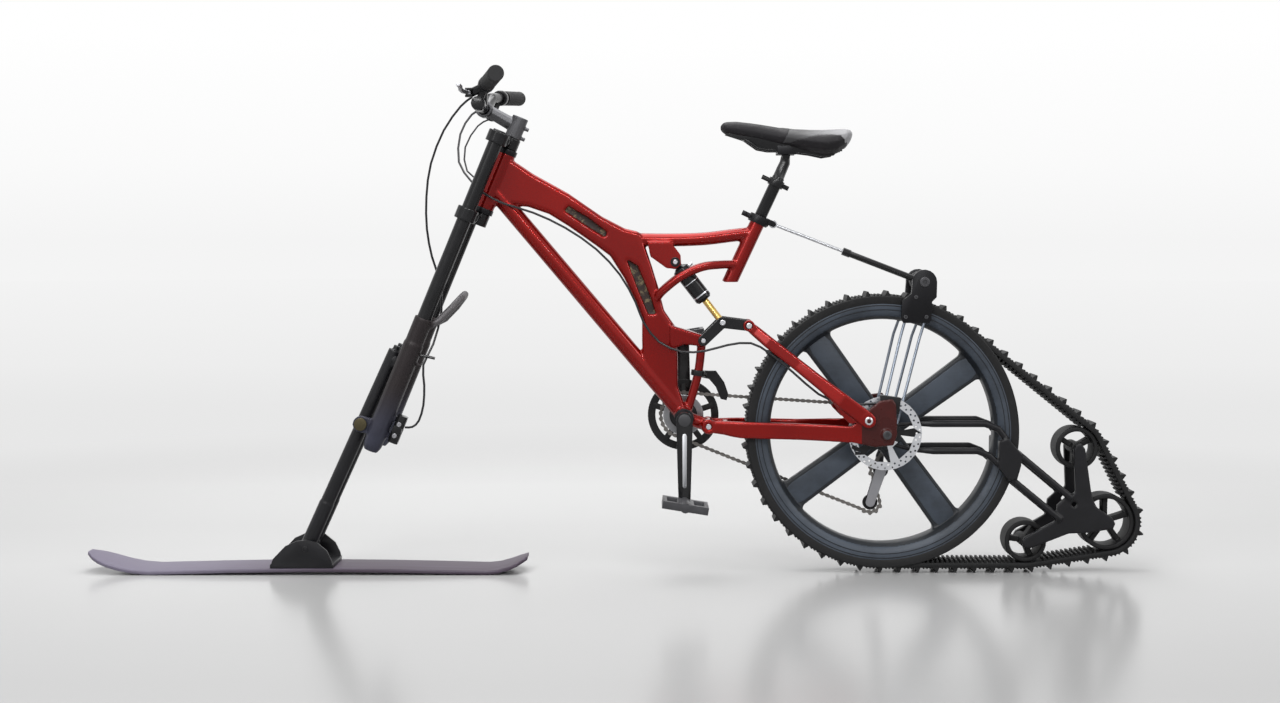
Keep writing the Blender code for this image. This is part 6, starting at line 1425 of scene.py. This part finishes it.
def studio_floor():
    """A wide pale floor that takes shadows near the bike and fades into the backdrop."""
    clear_selection()
    bpy.ops.mesh.primitive_circle_add(vertices=96, radius=30, fill_type="NGON", location=(0, 0, -0.0008))
    floor = settle("studio_floor")
    with editing(floor, "FACE"):
        bpy.ops.mesh.inset(thickness=26)
        bpy.ops.mesh.inset(thickness=2)
    f = Finish("studio_floor")
    depth = f.part("Y") + 1.2
    tone = f.greys(depth * (1 / 2.8), NEAR_TONES)
    floor.data.materials.append(f.set(Base_Color=f.blend(f.noise(3.0) * 0.04, tone, (0.55, 0.55, 0.55)),
                                      Roughness=0.20, Specular_IOR_Level=0.30))
    far = f.greys(depth * (1 / 27.2), FAR_TONES)
    glow = f.add("ShaderNodeEmission", {}, {"Color": far, "Strength": 1.0}, "Emission")
    share = f.length(f.places).fade(1.5, 3.2) * f.shown_ray()
    f.show(share, Socket(f, f.shader.outputs["BSDF"]), glow, "Material Output")


def studio_world():
    """Soft light from all round, and a pale backdrop for the camera's rays."""
    world = bpy.data.worlds.new("studio")
    bpy.context.scene.world = world
    world.use_nodes = True
    nodes = Nodes(world.node_tree, "Generated")
    light = nodes.tree.nodes["Background"]
    nodes.fill(light.inputs["Color"], (1.0, 1.0, 1.0))
    nodes.fill(light.inputs["Strength"], 0.26)
    tone = nodes.greys(nodes.part("Z"), BACKDROP_TONES)
    shown = nodes.add("ShaderNodeBackground", {}, {"Color": tone, "Strength": 1.0})
    nodes.show(nodes.shown_ray(), Socket(nodes, light.outputs["Background"]), shown, "World Output")


def studio_light(name, place, width, height, power, target=(0, 0, 0.5)):
    """A soft box aimed at a place."""
    light = bpy.data.lights.new(name, "AREA")
    light.shape = "RECTANGLE"
    light.size = width
    light.size_y = height
    light.energy = power
    lamp = add_object(name, light)
    lamp.location = place
    lamp.rotation_euler = (Vector(target) - Vector(place)).to_track_quat("-Z", "Y").to_euler()


def studio():
    """Floor, lights, world and camera, as in the product photograph."""
    scene = bpy.context.scene
    scene.view_settings.view_transform = "Standard"
    studio_floor()
    studio_world()
    studio_light("top_box", (-0.3, 0.1, 3.2), 4.4, 2.4, 135, (0, 0, 0.4))
    studio_light("front_box", (-1.9, -3.4, 2.4), 2.0, 1.4, 22)
    studio_light("front_strip", (-0.3, -2.7, 2.1), 3.4, 0.10, 40)
    studio_light("side_box", (3.2, -1.4, 2.0), 1.2, 1.8, 28, (0.3, 0, 0.5))
    camera = bpy.data.cameras.new("camera")
    camera.sensor_fit = "HORIZONTAL"
    camera.sensor_width = 36
    camera.lens = 50.6
    camera.shift_x = -0.004
    camera.shift_y = -0.087
    camera.clip_end = 100
    viewer = add_object("camera", camera)
    viewer.location = (0.065, -3.960, 0.726)
    viewer.rotation_euler = (math.pi / 2, 0, 0)
    scene.camera = viewer


# Operators, one for each group of pieces
class SNOWBIKE_OT_frame(bpy.types.Operator):
    """Build the welded main frame with its pins"""

    bl_idname = "snow_bike.frame"
    bl_label = "Main Frame"

    def execute(self, context):
        main_frame()
        return {"FINISHED"}


class SNOWBIKE_OT_frame_fittings(bpy.types.Operator):
    """Build the headset cups, bracket cartridge, seat clamp and front derailleur"""

    bl_idname = "snow_bike.frame_fittings"
    bl_label = "Frame Fittings"

    def execute(self, context):
        frame_fittings()
        return {"FINISHED"}


class SNOWBIKE_OT_fork(bpy.types.Operator):
    """Build the suspension fork"""

    bl_idname = "snow_bike.fork"
    bl_label = "Fork"

    def execute(self, context):
        fork()
        return {"FINISHED"}


class SNOWBIKE_OT_struts(bpy.types.Operator):
    """Build the struts that carry the ski"""

    bl_idname = "snow_bike.struts"
    bl_label = "Ski Struts"

    def execute(self, context):
        ski_struts()
        return {"FINISHED"}


class SNOWBIKE_OT_ski(bpy.types.Operator):
    """Build the ski and its bracket"""

    bl_idname = "snow_bike.ski"
    bl_label = "Ski"

    def execute(self, context):
        ski_and_bracket()
        return {"FINISHED"}


class SNOWBIKE_OT_cockpit(bpy.types.Operator):
    """Build the stem, bar, grips and levers"""

    bl_idname = "snow_bike.cockpit"
    bl_label = "Cockpit"

    def execute(self, context):
        cockpit()
        return {"FINISHED"}


class SNOWBIKE_OT_saddle(bpy.types.Operator):
    """Build the saddle and its post"""

    bl_idname = "snow_bike.saddle"
    bl_label = "Saddle and Post"

    def execute(self, context):
        saddle()
        return {"FINISHED"}


class SNOWBIKE_OT_swingarm(bpy.types.Operator):
    """Build the chain stays, seat stays, rocker and rear caliper"""

    bl_idname = "snow_bike.swingarm"
    bl_label = "Swingarm"

    def execute(self, context):
        swingarm()
        return {"FINISHED"}


class SNOWBIKE_OT_shock(bpy.types.Operator):
    """Build the rear shock"""

    bl_idname = "snow_bike.shock"
    bl_label = "Shock"

    def execute(self, context):
        shock()
        return {"FINISHED"}


class SNOWBIKE_OT_wheel(bpy.types.Operator):
    """Build the moulded drive wheel and its brake rotor"""

    bl_idname = "snow_bike.wheel"
    bl_label = "Drive Wheel"

    def execute(self, context):
        drive_wheel()
        rotor()
        return {"FINISHED"}


class SNOWBIKE_OT_track(bpy.types.Operator):
    """Build the rubber track and its small wheels"""

    bl_idname = "snow_bike.track"
    bl_label = "Track"

    def execute(self, context):
        track_belt()
        track_wheels()
        return {"FINISHED"}


class SNOWBIKE_OT_track_frame(bpy.types.Operator):
    """Build the track arms, torque arm and telescopic rod"""

    bl_idname = "snow_bike.track_frame"
    bl_label = "Track Frame"

    def execute(self, context):
        track_arms()
        torque_arm()
        return {"FINISHED"}


class SNOWBIKE_OT_cranks(bpy.types.Operator):
    """Build the cranks, chainrings and pedals"""

    bl_idname = "snow_bike.cranks"
    bl_label = "Crankset"

    def execute(self, context):
        cranks()
        return {"FINISHED"}


class SNOWBIKE_OT_chain(bpy.types.Operator):
    """Build the chain, the cogs and the derailleur"""

    bl_idname = "snow_bike.chain"
    bl_label = "Chain and Gears"

    def execute(self, context):
        chain()
        cassette_and_changer()
        return {"FINISHED"}


class SNOWBIKE_OT_hoses(bpy.types.Operator):
    """Finish the brake hoses and the shift cable"""

    bl_idname = "snow_bike.hoses"
    bl_label = "Hoses and Cable"

    def execute(self, context):
        hoses()
        return {"FINISHED"}


class SNOWBIKE_OT_studio(bpy.types.Operator):
    """Set up the floor, lights, world and camera"""

    bl_idname = "snow_bike.studio"
    bl_label = "Studio"

    def execute(self, context):
        studio()
        return {"FINISHED"}


STEPS = (SNOWBIKE_OT_frame, SNOWBIKE_OT_frame_fittings, SNOWBIKE_OT_fork, SNOWBIKE_OT_struts,
         SNOWBIKE_OT_ski, SNOWBIKE_OT_cockpit, SNOWBIKE_OT_saddle, SNOWBIKE_OT_swingarm,
         SNOWBIKE_OT_shock, SNOWBIKE_OT_wheel, SNOWBIKE_OT_track, SNOWBIKE_OT_track_frame,
         SNOWBIKE_OT_cranks, SNOWBIKE_OT_chain, SNOWBIKE_OT_hoses, SNOWBIKE_OT_studio)


class SNOWBIKE_PT_builder(bpy.types.Panel):
    """Sizes, colours and build steps of the snow bike"""

    bl_idname = "SNOWBIKE_PT_builder"
    bl_label = "Snow Bike"
    bl_space_type = "VIEW_3D"
    bl_region_type = "UI"
    bl_category = "Snow Bike"

    def draw(self, context):
        for group in (context.scene.snow_bike_sizes, context.scene.snow_bike_colours):
            column = self.layout.column(align=True)
            for name in group.__annotations__:
                column.prop(group, name)
        column = self.layout.column(align=True)
        for step in STEPS:
            column.operator(step.bl_idname)


def register():
    for kind in (SnowBikeSizes, SnowBikeColours, *STEPS, SNOWBIKE_PT_builder):
        bpy.utils.register_class(kind)
    bpy.types.Scene.snow_bike_sizes = PointerProperty(type=SnowBikeSizes)
    bpy.types.Scene.snow_bike_colours = PointerProperty(type=SnowBikeColours)


def unregister():
    del bpy.types.Scene.snow_bike_colours
    del bpy.types.Scene.snow_bike_sizes
    for kind in reversed((SnowBikeSizes, SnowBikeColours, *STEPS, SNOWBIKE_PT_builder)):
        bpy.utils.unregister_class(kind)


def main():
    register()
    for step in STEPS:
        group, name = step.bl_idname.split(".")
        getattr(getattr(bpy.ops, group), name)()


if __name__ == "__main__":
    main()
